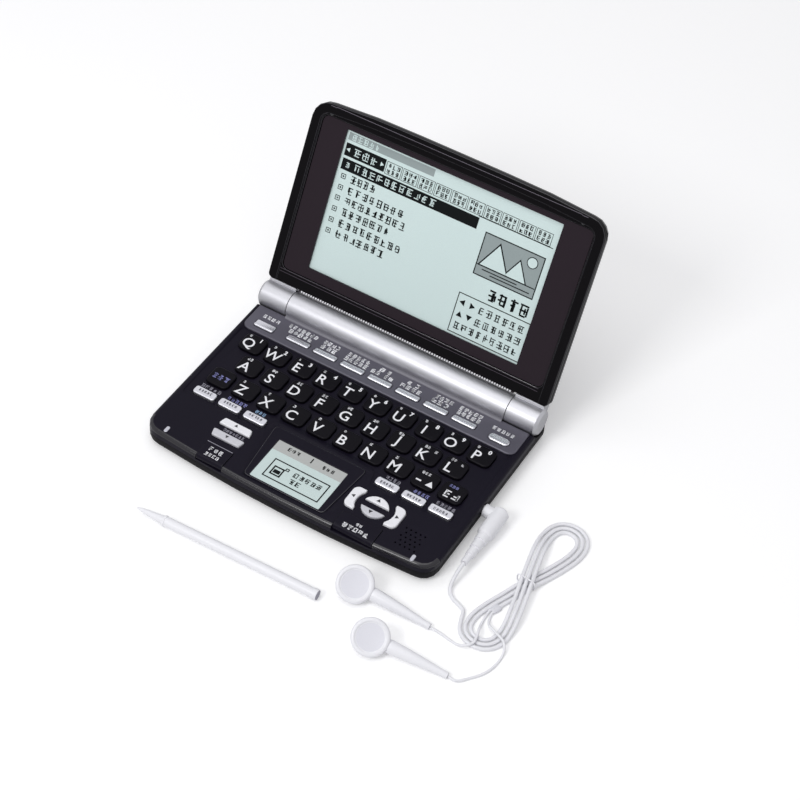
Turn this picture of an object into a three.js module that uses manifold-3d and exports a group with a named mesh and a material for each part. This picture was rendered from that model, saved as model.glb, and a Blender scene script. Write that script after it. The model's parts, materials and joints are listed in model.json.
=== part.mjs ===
// A pocket electronic dictionary, open, with its earphones plugged in and its stylus beside it.
// Millimetres, +X right, +Y back, +Z up. The origin is the middle of the base's underside.
import * as THREE from "three";
import { mergeVertices } from "three/addons/utils/BufferGeometryUtils.js";
import Module from "manifold-3d";

const wasm = await Module();
wasm.setup();

// Overall sizes of the closed body and the gaps between its pieces
const BODY_WIDTH = 148;
const BODY_DEPTH = 105.5;
const HINGE_HEIGHT = 12.5;
const BARREL_RADIUS = 6.7;
const LID_OPEN_ANGLE = 116.9;
const FRONT_BOW = 2.7;
const FRONT_CORNER_RADIUS = 8;
const REAR_CORNER_RADIUS = 3.5;
const FIT = 0.15;
const SEAM = 0.3;
const OVERRUN = 3;
const CASE_WALL = 1.7;

// Lower case
const LOWER_FLOOR = 1.6;
const SPLIT_HEIGHT = 5.4;
const UNDERSIDE_EDGE = 2.4;
const REAR_WALL_HEIGHT = 8;
const REAR_WALL_SETBACK = 0.4;
const CHANNEL_GAP = 0.4;
const FOOT_RADIUS = 4;
const FOOT_PROUD = 0.8;
const FOOT_RECESS = 0.7;
const FOOT_INSET_X = 11;
const FOOT_INSET_FRONT = 11;
const FOOT_INSET_REAR = 24;
const BOSS_RADIUS = 2.4;
const BOSS_INSET = 7;

// Upper case and the sunken keyboard pan
const CASE_HEIGHT = 10;
const DECK_THICKNESS = 1.8;
const DECK_EDGE = 1.7;
const PAN_DEPTH = 0.4;
const PAN_MARGIN = 3.2;
const PAN_FRONT_MARGIN = 27.9;
const PAN_BAY_DEPTH = 9;
const PAN_BAY_MARGINS = [2.6, 3.8];
const PAN_SLANT = 1.1;
const PAN_RADIUS = 2.2;
const LIP_FLOOR = 7;
const SPEAKER_HOLE_RADIUS = 0.5;
const SPEAKER_HOLE_SPACING = 2.3;
const SPEAKER_HOLE_ROWS = 5;

// Function strip behind the letters
const STRIP_SIDE_MARGIN = 2.3;
const STRIP_REACH = 22.35;
const STRIP_THICKNESS = 1.3;
const STRIP_PROUD = 0.6;
const STRIP_EDGE = 0.4;
const STRIP_FRONT_RADIUS = 3.5;

// Keys
const KEY_GAP = 0.3;
const KEY_BOTTOM = 7.3;
const KEY_FLANGE = 0.7;
const KEY_FLANGE_THICKNESS = 0.6;
const LETTER_TOP = 11;
const LETTER_GAP_X = 2.1;
const LETTER_GAP_Y = 2.2;
const LETTER_RADIUS = 2.4;
const LETTER_BEVEL = 0.5;
const LETTER_SIDE_MARGIN = 7.05;
const LETTER_REAR_MARGIN = 0.9;
const LETTER_FRONT_MARGIN = 37.7;
const LETTER_COLUMNS = 10;
const LETTER_COUNTS = { letter_row_top: 10, letter_row_middle: 9, letter_row_bottom: 10 };
const LETTER_CARRIER_DEPTH = 4;
const FUNCTION_TOP = 11.4;
const FUNCTION_KEYS = 7;
const FUNCTION_SIDE_MARGIN = 22.75;
const FUNCTION_GAP = 2.6;
const FUNCTION_DEPTH = 3.4;
const FUNCTION_FALL = 0.5;
const FUNCTION_RADIUS = 0.9;
const FUNCTION_FRONT_MARGIN = 3.6;
const END_KEY_WIDTH = 10.2;
const END_KEY_DEPTH = 4.4;
const END_KEY_FRONT_MARGIN = 2.8;
const END_KEY_RADIUS = 2;
const END_KEY_INSET = 12;
const SMALL_KEY_BEVEL = 0.4;
const SILVER_TOP = 10.9;
const SILVER_KEYS = 3;
const SILVER_GAP = 2.2;
const SILVER_DEPTH = 4.4;
const SILVER_RADIUS = 1.2;
const SILVER_FRONT_MARGIN = 30.3;
const SILVER_SIDE_INSET = 12.9;
const SCROLL_TOP = 10.9;
const SCROLL_LONG_HALF = 8.1;
const SCROLL_SHORT_HALF = 7.1;
const SCROLL_DEPTH = 3.9;
const SCROLL_INSET = 35.9;
const SCROLL_UP_MARGIN = 23.75;
const SCROLL_DOWN_MARGIN = 16.4;
const SCROLL_RADIUS = 0.8;
const NAV_TOP = 11;
const NAV_INSET = 37.5;
const NAV_MARGIN = 19.1;
const NAV_HALF_WIDTH = 13.1;
const NAV_HALF_DEPTH = 6;
const NAV_RADIUS = 2.8;
const NAV_ARC_END = 7.5;
const NAV_INNER_HALF = [9.1, 8.2];
const NAV_DISC_HALF = [6.2, 5.8];
const NAV_DISC_FLAT = 1.7;
const LIP_KEY_TOP = 10.4;
const LIP_KEY_DEPTH = 10.25;
const LIP_KEY_ROUND = 1.8;
const LIP_KEY_TAB = 1.2;
const BACK_KEY_INSET = 36.5;
const BACK_KEY_WIDTH = 13.4;
const ENTER_KEY_INSET = 38.1;
const ENTER_KEY_WIDTH = 19.4;

// Touch panel between the two groups of keys
const PANEL_OFFSET_X = -0.8;
const PANEL_THICKNESS = 0.9;
const SURROUND_SIDE_GAP = 5.1;
const SURROUND_TAPER = 3.2;
const SURROUND_FRONT_MARGIN = 3.95;
const SURROUND_DEPTH = 30.5;
const SURROUND_SIDE = 2.75;
const SURROUND_FRONT = 0.95;
const SURROUND_REAR = 6.15;
const SURROUND_RADIUS = 2;
const SURROUND_THICKNESS = 1.1;
const SURROUND_PROUD = 0.3;

// Electronics inside the base
const BOARD_THICKNESS = 1;
const BOARD_HEIGHT = 3.2;
const BOARD_MARGIN = 5.5;
const BOARD_REAR_MARGIN = 10;
const MAT_GAP = 0.3;
const MAT_THICKNESS = 0.8;
const DOME_TOP_SHARE = 0.55;
const DOME_HALF = 2.2;
const DOME_CLEARANCE = 0.8;
const SPEAKER_RADIUS = 6.8;
const SPEAKER_THICKNESS = 2.4;
const SPEAKER_INSET = [16, 12.75];

// Hinge barrel, its pins, the cells and their cover
const BARREL_WALL = 1.2;
const BARREL_SIDE_INSET = 16.1;
const BARREL_END_WALL = 6.6;
const BARREL_SKIRT_HEIGHT = 9.2;
const CELL_RADIUS = 5.25;
const CELL_ROOM_INSET = 3.6;
const CELL_NUB_RADIUS = 1.9;
const CELL_NUB_LENGTH = 0.8;
const CELL_END_ROOM = 2.4;
const CELL_GAP = 0.35;
const COVER_THICKNESS = 1.4;
const COVER_TONGUE = 2.2;
const HINGE_PIN_RADIUS = 2;
const HINGE_PIN_LENGTH = 13;
const PIN_GAP = 0.1;

// Lid: frame, cover, screen and hinge caps
const LID_BOW = 1.7;
const LID_CORNER_RADIUS = 8.5;
const LID_RIM_GAP = 0.9;
const LID_FACE_GAP = 1.8;
const LID_MATING_HEIGHT = 13.1;
const LID_FRONT_TOP = 17.2;
const LID_REAR_TOP = 19.2;
const LID_HINGE_CLEARANCE = 1.6;
const LID_REAR_RADIUS = 2;
const LID_EDGE = 2.6;
const LID_WALL = 1.6;
const LID_RIM_WIDTH = 4.6;
const LID_RIM_EDGE = 0.7;
const WINDOW_SIDE_MARGIN = 5.3;
const WINDOW_NEAR = 14.8;
const WINDOW_FAR_MARGIN = 7.5;
const WINDOW_RADIUS = 3;
const BEZEL_THICKNESS = 0.8;
const BEZEL_RECESS = 0.5;
const SCREEN_LEFT_BORDER = 12.95;
const SCREEN_RIGHT_BORDER = 14.6;
const SCREEN_NEAR_BORDER = 5.3;
const SCREEN_FAR_BORDER = 2.75;
const SCREEN_THICKNESS = 2;
const SCREEN_MARGIN = 3;
const CAP_CHAMFER = 1.3;
const CAP_NECK = 2.6;
const TRIM_END_GAP = 1;
const TRIM_HEIGHT = 0.7;
const TRIM_WIDTH = 1.8;

// Earphones: jack, plug, cord, hank, leads and earbuds
const JACK_Y = -4.5;
const JACK_HEIGHT = 4.3;
const JACK_SIZE = [13.5, 7.4, 4.7];
const PLUG_PIN_RADIUS = 1.75;
const PLUG_PIN_LENGTH = 14;
const PLUG_NECK_RADIUS = 3;
const PLUG_NECK_LENGTH = 3;
const PLUG_BODY_RADIUS = 3.9;
const PLUG_BODY_LENGTH = 16;
const RELIEF_LENGTH = 18;
const RELIEF_RIBS = 3;
const RELIEF_START_RADIUS = 3;
const RELIEF_END_RADIUS = 1.7;
const RELIEF_GROOVE = 0.5;
const CORD_DIAMETER = 1.8;
const LEAD_DIAMETER = 1.2;
const CORD_STEP_SHARE = 2.5;
const CORD_ROUTE = [
  [0, -3, 5],
  [0, -6, 4.2],
  [0, -8.9, 2.9],
  [0.4, -11.3, 1.8],
  [1.7, -13.7, 1.15],
  [4, -15.6, 0.92],
  [7, -16.8, 0.9],
];
const HANK_SPACING = 2.32;
const HANK_LOOPS = 2.9;
const HANK_START_SHARE = 0.84;
const HANK_STEPS_A_LOOP = 48;
const HANK_SIDES = 6;
const HANK_HALF_LENGTH = 36.4;
const HANK_HALF_WIDTH = 6.2;
const HANK_FULLNESS_SHARE = 0.36;
const HANK_OFFSET = [26.2, 7.4];
const HANK_TURN = -6;
const HANK_HUMP_LEVEL = 16;
const HANK_HUMP_END = 30;
const TIE_LIFT = 0.9;
const TIE_LIFT_REACH = 12;
const BUD_RADIUS = 8.3;
const BUD_RIM = 2.4;
const BUD_BACK = 5.2;
const BUD_BACK_RADIUS = 3.4;
const BUD_TILT = 36;
const BUD_TURN = 25;
const STEM_START_RADIUS = 3.4;
const STEM_END_RADIUS = 1.3;
const BUD_A_HEAD = [-31.3, -36.5];
const BUD_A_STEM_END = [3.6, -33.6];
const BUD_B_HEAD = [-11.8, -55.7];
const BUD_B_STEM_END = [22.1, -50.4];
const LEAD_A_ROUTE = [
  [20.2, -17.3, 0.6],
  [20.8, -21.3, 1.2],
  [21.8, -24.8, 2.7],
  [22.8, -28.3, 2.7],
  [23, -31.6, 2.7],
  [21, -33.9, 2.1],
  [17.2, -34.6, 0.6],
  [12.4, -34.2, 0.6],
];
const LEAD_B_ROUTE = [
  [22.2, -16.2, 0.6],
  [23.4, -19, 1.4],
  [25.8, -21.1, 2.7],
  [29.2, -22.4, 2.7],
  [32.6, -23.8, 2.7],
  [35, -26.4, 2],
  [35.8, -30.4, 0.6],
  [35.4, -36.2, 0.6],
  [33.4, -41.6, 0.6],
  [30, -46.1, 0.6],
];

// Stylus
const STYLUS_RADIUS = 2.3;
const STYLUS_LENGTH = 90;
const STYLUS_TIP_LENGTH = 13.6;
const STYLUS_POINT_RADIUS = 0.5;
const STYLUS_COLLAR = 0.25;
const STYLUS_COLLAR_LENGTH = 1.2;
const STYLUS_OFFSET = [-7, -29.5];
const STYLUS_TURN = 2.2;

const DEG = Math.PI / 180;
const FLOOR_Z = -FOOT_PROUD;
const FRONT_Y = -BODY_DEPTH / 2;
const AXIS_Y = BODY_DEPTH / 2 - BARREL_RADIUS;
const CASE_REAR_Y = BODY_DEPTH / 2 - REAR_WALL_SETBACK;
const CHANNEL_RADIUS = BARREL_RADIUS + CHANNEL_GAP;
const DECK_UNDER = CASE_HEIGHT - DECK_THICKNESS;
const HALF_WIDTH = BODY_WIDTH / 2;
const STRIP_FRONT_Y = AXIS_Y - STRIP_REACH;
const LIP_KEY_REAR_Y = FRONT_Y + LIP_KEY_DEPTH;
const SURROUND_FRONT_Y = FRONT_Y + SURROUND_FRONT_MARGIN;
const SURROUND_REAR_Y = SURROUND_FRONT_Y + SURROUND_DEPTH;
const NAV_CENTRE = [HALF_WIDTH - NAV_INSET, FRONT_Y + NAV_MARGIN];
const SPEAKER_CENTRE = [HALF_WIDTH - SPEAKER_INSET[0], FRONT_Y + SPEAKER_INSET[1]];
const COLUMN_WIDTH = (BODY_WIDTH - 2 * LETTER_SIDE_MARGIN) / LETTER_COLUMNS;
const SILVER_REACH = SILVER_SIDE_INSET + (SILVER_KEYS - 1) * COLUMN_WIDTH + (COLUMN_WIDTH - SILVER_GAP) / 2;
const SURROUND_REAR_HALF = HALF_WIDTH - SILVER_REACH - SURROUND_SIDE_GAP;
const SURROUND_FRONT_HALF = SURROUND_REAR_HALF - SURROUND_TAPER;
const BARREL_HALF = HALF_WIDTH - BARREL_SIDE_INSET;
const BARREL_ROOM_HALF = BARREL_HALF - BARREL_END_WALL;
const CELLS_HALF = BARREL_ROOM_HALF - CELL_ROOM_INSET;
const CELL_LENGTH = CELLS_HALF - CELL_NUB_LENGTH - CELL_END_ROOM;

function finish(color, roughness, metalness = 0) {
  return new THREE.MeshStandardMaterial({ color, roughness, metalness });
}
const BLACK = finish(0x25222b, 0.42);
const GLOSS = finish(0x17131a, 0.12);
const INNER = finish(0x2c262e, 0.3);
const STRIP = finish(0x5a5862, 0.4, 0.5);
const SILVER = finish(0xc9c9ce, 0.3, 0.8);
const KEY_SILVER = finish(0xe2e2e6, 0.3, 0.3);
const SCREEN = finish(0xd3e5e3, 0.35);
const WHITE = finish(0xf1f0f3, 0.35);
const RUBBER = finish(0x3a3a3d, 0.8);
const BOARD = finish(0x2f6b45, 0.6);
const STEEL = finish(0xa9abb0, 0.3, 1);

// A closed geometry as a solid that can be joined and cut.
function solid(geometry) {
  const bare = new THREE.BufferGeometry();
  bare.setAttribute("position", geometry.getAttribute("position"));
  if (geometry.index) bare.setIndex(geometry.index);
  const merged = mergeVertices(bare);
  return new wasm.Manifold(
    new wasm.Mesh({
      numProp: 3,
      vertProperties: merged.attributes.position.array,
      triVerts: new Uint32Array(merged.index.array),
    }),
  );
}

function geometryOf(made) {
  const { vertProperties, triVerts } = made.getMesh();
  const geometry = new THREE.BufferGeometry();
  geometry.setAttribute("position", new THREE.BufferAttribute(vertProperties, 3));
  geometry.setIndex(new THREE.BufferAttribute(triVerts, 1));
  return geometry;
}

function joined(solids) {
  return solids.reduce((all, one) => all.add(one));
}

function cutBy(body, cutters) {
  return cutters.reduce((left, cutter) => left.subtract(cutter), body);
}

function box(x, y, z) {
  const size = [x, y, z].map(([low, high]) => high - low);
  const centre = [x, y, z].map(([low, high]) => (high + low) / 2);
  return solid(new THREE.BoxGeometry(...size).translate(...centre));
}

function cylinderX(radius, x, y, z, sides = 24) {
  const length = x[1] - x[0];
  const geometry = new THREE.CylinderGeometry(radius, radius, length, sides);
  return solid(geometry.rotateZ(-Math.PI / 2).translate((x[0] + x[1]) / 2, y, z));
}

function cylinderZ(radius, x, y, z, sides = 20) {
  const geometry = new THREE.CylinderGeometry(radius, radius, z[1] - z[0], sides);
  return solid(geometry.rotateX(Math.PI / 2).translate(x, y, (z[0] + z[1]) / 2));
}

// Rings of points, one above another, closed by a flat face at each end
function loft(rings) {
  const count = rings[0].length;
  const last = (rings.length - 1) * count;
  const geometry = new THREE.BufferGeometry().setFromPoints(rings.flat());
  const index = [];
  for (let r = 0; r + 1 < rings.length; r++) {
    for (let i = 0; i < count; i++) {
      const low = r * count + i;
      const next = r * count + ((i + 1) % count);
      index.push(low, next, next + count, low, next + count, low + count);
    }
  }
  for (let i = 1; i + 1 < count; i++) {
    index.push(0, i + 1, i, last, last + i, last + i + 1);
  }
  return geometry.setIndex(index);
}

// The same for outlines with hollows in them, whose end faces can't be simple fans
function hollowLoft(rings) {
  const count = rings[0].length;
  const last = (rings.length - 1) * count;
  const geometry = loft(rings);
  const walls = Array.from(geometry.index.array).slice(0, last * 6);
  const flat = rings[0].map(({ x, y }) => new THREE.Vector2(x, y));
  for (const [a, b, c] of THREE.ShapeUtils.triangulateShape(flat, [])) {
    walls.push(a, c, b, last + a, last + b, last + c);
  }
  return geometry.setIndex(walls);
}

function ring(points, height) {
  return points.map(([x, y]) => {
    const z = typeof height === "function" ? height(y) : height;
    return new THREE.Vector3(x, y, z);
  });
}

function arc(centre, radius, from, to, steps) {
  return Array.from({ length: steps + 1 }, (_, i) => {
    const angle = (from + ((to - from) * i) / steps) * DEG;
    return [centre[0] + radius * Math.cos(angle), centre[1] + radius * Math.sin(angle)];
  });
}

// A rectangle with round corners, anticlockwise, drawn in by an inset all round.
function roundRect(centre, size, radius, inset = 0, steps = 2) {
  const [halfX, halfY] = size.map((one) => one / 2 - inset);
  const r = Math.min(Math.max(radius - inset, radius / 10), halfX - halfX / 50, halfY - halfY / 50);
  const corners = [
    [1, 1, 0],
    [-1, 1, 90],
    [-1, -1, 180],
    [1, -1, 270],
  ];
  return corners.flatMap(([sx, sy, from]) => {
    const middle = [centre[0] + sx * (halfX - r), centre[1] + sy * (halfY - r)];
    return arc(middle, r, from, from + 90, steps);
  });
}

// The body's plan: straight sides, a bowed front edge and round corners.
const BASE_FRONT = { bow: FRONT_BOW, power: 2, radius: FRONT_CORNER_RADIUS };
const LID_FRONT = { bow: LID_BOW, power: 4, radius: LID_CORNER_RADIUS };

function bodyPlan(inset, rearY, rearRadius, edge = BASE_FRONT, cornerSteps = 4, bowSteps = 6) {
  const halfX = BODY_WIDTH / 2 - inset;
  const frontRadius = edge.radius - Math.min(inset, edge.radius / 2);
  const backRadius = Math.max(rearRadius - inset, rearRadius / 4);
  const front = FRONT_Y + inset;
  const rear = rearY - inset;
  const cornerX = halfX - frontRadius;
  const cornerY = front + edge.bow + frontRadius;
  const bow = Array.from({ length: bowSteps - 1 }, (_, i) => {
    const x = -cornerX + (2 * cornerX * (i + 1)) / bowSteps;
    return [x, front + edge.bow * Math.abs(x / cornerX) ** edge.power];
  });
  return [
    ...arc([halfX - backRadius, rear - backRadius], backRadius, 0, 90, 3),
    ...arc([-halfX + backRadius, rear - backRadius], backRadius, 90, 180, 3),
    ...arc([-cornerX, cornerY], frontRadius, 180, 270, cornerSteps),
    ...bow,
    ...arc([cornerX, cornerY], frontRadius, 270, 360, cornerSteps),
  ];
}

// Heights and insets of an edge that is rounded over by a radius, as a share of the way up to it.
function roundedEdge(radius, steps = 3) {
  return Array.from({ length: steps + 1 }, (_, i) => {
    const angle = (90 * i * DEG) / steps;
    return { rise: radius * Math.sin(angle), inset: radius * (1 - Math.cos(angle)) };
  });
}

function frontAt(x) {
  const cornerX = BODY_WIDTH / 2 - FRONT_CORNER_RADIUS;
  return FRONT_Y + FRONT_BOW * (x / cornerX) ** 2;
}

function plate(points, low, high) {
  return solid(loft([ring(points, low), ring(points, high)]));
}

// A polygon whose corners are rounded, as points
function roundPolygon(corners, radius, steps = 3) {
  return corners.flatMap((corner, i) => {
    const here = new THREE.Vector2(...corner);
    const before = new THREE.Vector2(...corners.at(i - 1));
    const after = new THREE.Vector2(...corners[(i + 1) % corners.length]);
    const start = before.sub(here).setLength(radius).add(here);
    const end = after.sub(here).setLength(radius).add(here);
    const curve = new THREE.QuadraticBezierCurve(start, here, end);
    return curve.getPoints(steps).map(({ x, y }) => [x, y]);
  });
}

// A turned body along +Z, from a list of radii and places along the axis
function turned(profile, sides) {
  return loft(
    profile.map(([radius, z]) => {
      const circle = arc([0, 0], radius, 0, 360, sides);
      return ring(circle.slice(0, -1), z);
    }),
  );
}

const dictionary = new THREE.Group();
const lid = new THREE.Group();
lid.position.set(0, AXIS_Y, HINGE_HEIGHT);
lid.rotation.x = -LID_OPEN_ANGLE * DEG;
dictionary.add(lid);

function place(name, made, material, parent = dictionary) {
  const geometry = made.isBufferGeometry ? made : geometryOf(made);
  const piece = new THREE.Mesh(geometry, material);
  piece.name = name;
  if (parent === lid) piece.geometry.translate(0, -AXIS_Y, -HINGE_HEIGHT);
  parent.add(piece);
  return piece;
}

// Keys: each has its outline, its top and the opening that it slides in.
const openings = [];
const stripOpenings = [];
const domes = [];

function capSolid(outlineAt, topAt, bevel) {
  const flangeTop = KEY_BOTTOM + KEY_FLANGE_THICKNESS;
  return solid(
    loft([
      ring(outlineAt(-KEY_FLANGE), KEY_BOTTOM),
      ring(outlineAt(-KEY_FLANGE), flangeTop),
      ring(outlineAt(0), flangeTop),
      ring(outlineAt(0), (y) => topAt(y) - bevel),
      ring(outlineAt(bevel), topAt),
    ]),
  );
}

// A key with a plain outline. Its top falls from its front edge to its rear edge by a given height.
function rectKey(name, centre, size, radius, top, inStrip = false, fall = 0) {
  const outlineAt = (inset) => roundRect(centre, size, radius, inset);
  const topAt = (y) => top - fall * ((y - centre[1]) / size[1] + 1 / 2);
  place(name, capSolid(outlineAt, topAt, SMALL_KEY_BEVEL), KEY_SILVER);
  const hole = plate(outlineAt(-KEY_GAP), KEY_BOTTOM, top + OVERRUN);
  openings.push(hole);
  if (inStrip) stripOpenings.push(hole);
  domes.push(centre);
}

function shapedKey(name, outlineAt, centre, top) {
  const flangeTop = KEY_BOTTOM + KEY_FLANGE_THICKNESS;
  const key = hollowLoft([
    ring(outlineAt(KEY_FLANGE), KEY_BOTTOM),
    ring(outlineAt(KEY_FLANGE), flangeTop),
    ring(outlineAt(0), flangeTop),
    ring(outlineAt(0), top - SMALL_KEY_BEVEL),
    ring(outlineAt(-SMALL_KEY_BEVEL), top),
  ]);
  place(name, solid(key), KEY_SILVER);
  const hole = [KEY_BOTTOM, top + OVERRUN].map((z) => ring(outlineAt(KEY_GAP), z));
  openings.push(solid(hollowLoft(hole)));
  domes.push(centre);
}

// Letter keys: the caps of a row share the moulded carrier strip that they are bonded to.
const lettersRear = STRIP_FRONT_Y - LETTER_REAR_MARGIN;
const rowDepth = (lettersRear - FRONT_Y - LETTER_FRONT_MARGIN) / 3;
for (const [row, [name, count]] of Object.entries(LETTER_COUNTS).entries()) {
  const y = lettersRear - (row + 0.5) * rowDepth;
  const firstX = (-(count - 1) / 2) * COLUMN_WIDTH;
  const centres = Array.from({ length: count }, (_, i) => [firstX + i * COLUMN_WIDTH, y]);
  const size = [COLUMN_WIDTH - LETTER_GAP_X, rowDepth - LETTER_GAP_Y];
  const caps = centres.map((centre) => {
    const outlineAt = (inset) => roundRect(centre, size, LETTER_RADIUS, inset);
    return solid(
      loft([
        ring(outlineAt(0), KEY_BOTTOM),
        ring(outlineAt(0), LETTER_TOP - LETTER_BEVEL),
        ring(outlineAt(LETTER_BEVEL), LETTER_TOP),
      ]),
    );
  });
  const halfCarrier = LETTER_CARRIER_DEPTH / 2;
  const carrier = box(
    [firstX, centres.at(-1)[0]],
    [y - halfCarrier, y + halfCarrier],
    [KEY_BOTTOM, KEY_BOTTOM + KEY_FLANGE_THICKNESS],
  );
  place(name, joined([...caps, carrier]), BLACK);
  for (const centre of centres) {
    const hole = roundRect(centre, size, LETTER_RADIUS, -KEY_GAP);
    openings.push(plate(hole, KEY_BOTTOM, LETTER_TOP + OVERRUN));
    domes.push(centre);
  }
}

// Function keys in the strip, with the power key at the left and the jump key at the right
const functionY = STRIP_FRONT_Y + FUNCTION_FRONT_MARGIN + FUNCTION_DEPTH / 2;
const functionSpacing = (BODY_WIDTH - 2 * FUNCTION_SIDE_MARGIN) / FUNCTION_KEYS;
for (let i = 0; i < FUNCTION_KEYS; i++) {
  const centre = [(i - (FUNCTION_KEYS - 1) / 2) * functionSpacing, functionY];
  const size = [functionSpacing - FUNCTION_GAP, FUNCTION_DEPTH];
  const name = "function_key_" + (i + 1);
  rectKey(name, centre, size, FUNCTION_RADIUS, FUNCTION_TOP, true, FUNCTION_FALL);
}
const endKeySize = [END_KEY_WIDTH, END_KEY_DEPTH];
const endKeyX = HALF_WIDTH - END_KEY_INSET;
const endKeyY = STRIP_FRONT_Y + END_KEY_FRONT_MARGIN + END_KEY_DEPTH / 2;
rectKey("power_key", [-endKeyX, endKeyY], endKeySize, FUNCTION_RADIUS, FUNCTION_TOP, true);
rectKey("jump_key", [endKeyX, endKeyY], endKeySize, END_KEY_RADIUS, FUNCTION_TOP, true);

// Silver keys in front of the letters, three on each side
const silverY = FRONT_Y + SILVER_FRONT_MARGIN + SILVER_DEPTH / 2;
for (let i = 0; i < SILVER_KEYS; i++) {
  const size = [COLUMN_WIDTH - SILVER_GAP, SILVER_DEPTH];
  const leftX = -HALF_WIDTH + SILVER_SIDE_INSET + i * COLUMN_WIDTH;
  const rightX = HALF_WIDTH - SILVER_SIDE_INSET - (SILVER_KEYS - 1 - i) * COLUMN_WIDTH;
  rectKey("silver_key_left_" + (i + 1), [leftX, silverY], size, SILVER_RADIUS, SILVER_TOP);
  rectKey("silver_key_right_" + (i + 1), [rightX, silverY], size, SILVER_RADIUS, SILVER_TOP);
}

// Scroll keys: a pair of bars whose slanted ends make one rounded outline
const scrollX = -HALF_WIDTH + SCROLL_INSET;
function scrollShape(centreY, frontHalf, rearHalf, grow) {
  const halfY = SCROLL_DEPTH / 2 + grow;
  const corners = [
    [scrollX - frontHalf - grow, centreY - halfY],
    [scrollX + frontHalf + grow, centreY - halfY],
    [scrollX + rearHalf + grow, centreY + halfY],
    [scrollX - rearHalf - grow, centreY + halfY],
  ];
  return roundPolygon(corners, SCROLL_RADIUS);
}
for (const [name, margin, frontHalf, rearHalf] of [
  ["scroll_key_up", SCROLL_UP_MARGIN, SCROLL_LONG_HALF, SCROLL_SHORT_HALF],
  ["scroll_key_down", SCROLL_DOWN_MARGIN, SCROLL_SHORT_HALF, SCROLL_LONG_HALF],
]) {
  const y = FRONT_Y + margin;
  const outlineAt = (grow) => scrollShape(y, frontHalf, rearHalf, grow);
  shapedKey(name, outlineAt, [scrollX, y], SCROLL_TOP);
}

// Cursor pad: two bracket-shaped keys at the sides and two half discs between them
function bracketShape(side, grow) {
  const outer = NAV_HALF_WIDTH + grow;
  const halfY = NAV_HALF_DEPTH + grow;
  const end = NAV_ARC_END - grow;
  const radius = NAV_RADIUS + grow;
  const [innerX, innerY] = NAV_INNER_HALF.map((one) => one - grow);
  const reach = Math.min(halfY, innerY - grow / 2);
  const tipAngle = Math.acos(Math.min(end / innerX, 1));
  const tipY = Math.min(innerY * Math.sin(tipAngle), reach);
  const points = [
    ...arc([outer - radius, halfY - radius], radius, 90, 0, 4),
    ...arc([outer - radius, radius - halfY], radius, 0, -90, 4),
    [end, -halfY],
    ...Array.from({ length: 7 }, (_, i) => {
      const angle = Math.asin(tipY / innerY) * (i / 3 - 1);
      return [innerX * Math.cos(angle), innerY * Math.sin(angle)];
    }),
    [end, halfY],
  ];
  const placed = points.map(([x, y]) => [NAV_CENTRE[0] + side * x, NAV_CENTRE[1] + y]);
  return side < 0 ? placed : placed.reverse();
}

function halfDiscShape(side, grow) {
  const [halfX, halfY] = NAV_DISC_HALF.map((one) => one + grow);
  const flat = NAV_DISC_FLAT - grow;
  const start = Math.asin(flat / halfY);
  return Array.from({ length: 11 }, (_, i) => {
    const angle = start + ((Math.PI - 2 * start) * i) / 10;
    const x = NAV_CENTRE[0] + side * halfX * Math.cos(angle);
    return [x, NAV_CENTRE[1] + side * halfY * Math.sin(angle)];
  });
}

const bracketMiddle = (NAV_HALF_WIDTH + NAV_INNER_HALF[0]) / 2;
const discMiddle = (NAV_DISC_HALF[1] + NAV_DISC_FLAT) / 2;
for (const [name, side] of [
  ["nav_key_left", -1],
  ["nav_key_right", 1],
]) {
  const centre = [NAV_CENTRE[0] + side * bracketMiddle, NAV_CENTRE[1]];
  shapedKey(name, (grow) => bracketShape(side, grow), centre, NAV_TOP);
}
for (const [name, side] of [
  ["nav_key_down", -1],
  ["nav_key_up", 1],
]) {
  const centre = [NAV_CENTRE[0], NAV_CENTRE[1] + side * discMiddle];
  shapedKey(name, (grow) => halfDiscShape(side, grow), centre, NAV_TOP);
}

// Back and enter keys: they roll over the front lip of the case, with a tab behind under the deck.
function lipKey(name, x, width) {
  const halfX = width / 2;
  const frontY = Math.max(frontAt(x - halfX), frontAt(x + halfX)) + FIT;
  const bottom = LIP_FLOOR + DOME_CLEARANCE;
  const edge = arc([LIP_KEY_TOP - LIP_KEY_ROUND, frontY + LIP_KEY_ROUND], LIP_KEY_ROUND, -90, 0, 4);
  const profile = [
    [bottom, LIP_KEY_REAR_Y],
    [bottom, frontY],
    ...edge,
    [LIP_KEY_TOP, LIP_KEY_REAR_Y],
  ].map(([z, y]) => new THREE.Vector2(z, y));
  const geometry = new THREE.ExtrudeGeometry(new THREE.Shape(profile), {
    depth: width,
    bevelEnabled: false,
  });
  const cap = solid(geometry.rotateY(-Math.PI / 2).translate(x + halfX, 0, 0));
  const tab = box(
    [x - halfX / 2, x + halfX / 2],
    [LIP_KEY_REAR_Y - LIP_KEY_TAB, LIP_KEY_REAR_Y + LIP_KEY_TAB],
    [KEY_BOTTOM, KEY_BOTTOM + KEY_FLANGE_THICKNESS],
  );
  place(name, cap.add(tab), BLACK);
  openings.push(
    box(
      [x - halfX - KEY_GAP, x + halfX + KEY_GAP],
      [FRONT_Y - OVERRUN, LIP_KEY_REAR_Y + KEY_GAP],
      [LIP_FLOOR, LIP_KEY_TOP + OVERRUN],
    ),
  );
  domes.push([x, LIP_KEY_REAR_Y + LIP_KEY_TAB / 2 - DOME_HALF]);
}
lipKey("back_key", BACK_KEY_INSET - HALF_WIDTH, BACK_KEY_WIDTH);
lipKey("enter_key", HALF_WIDTH - ENTER_KEY_INSET, ENTER_KEY_WIDTH);

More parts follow.
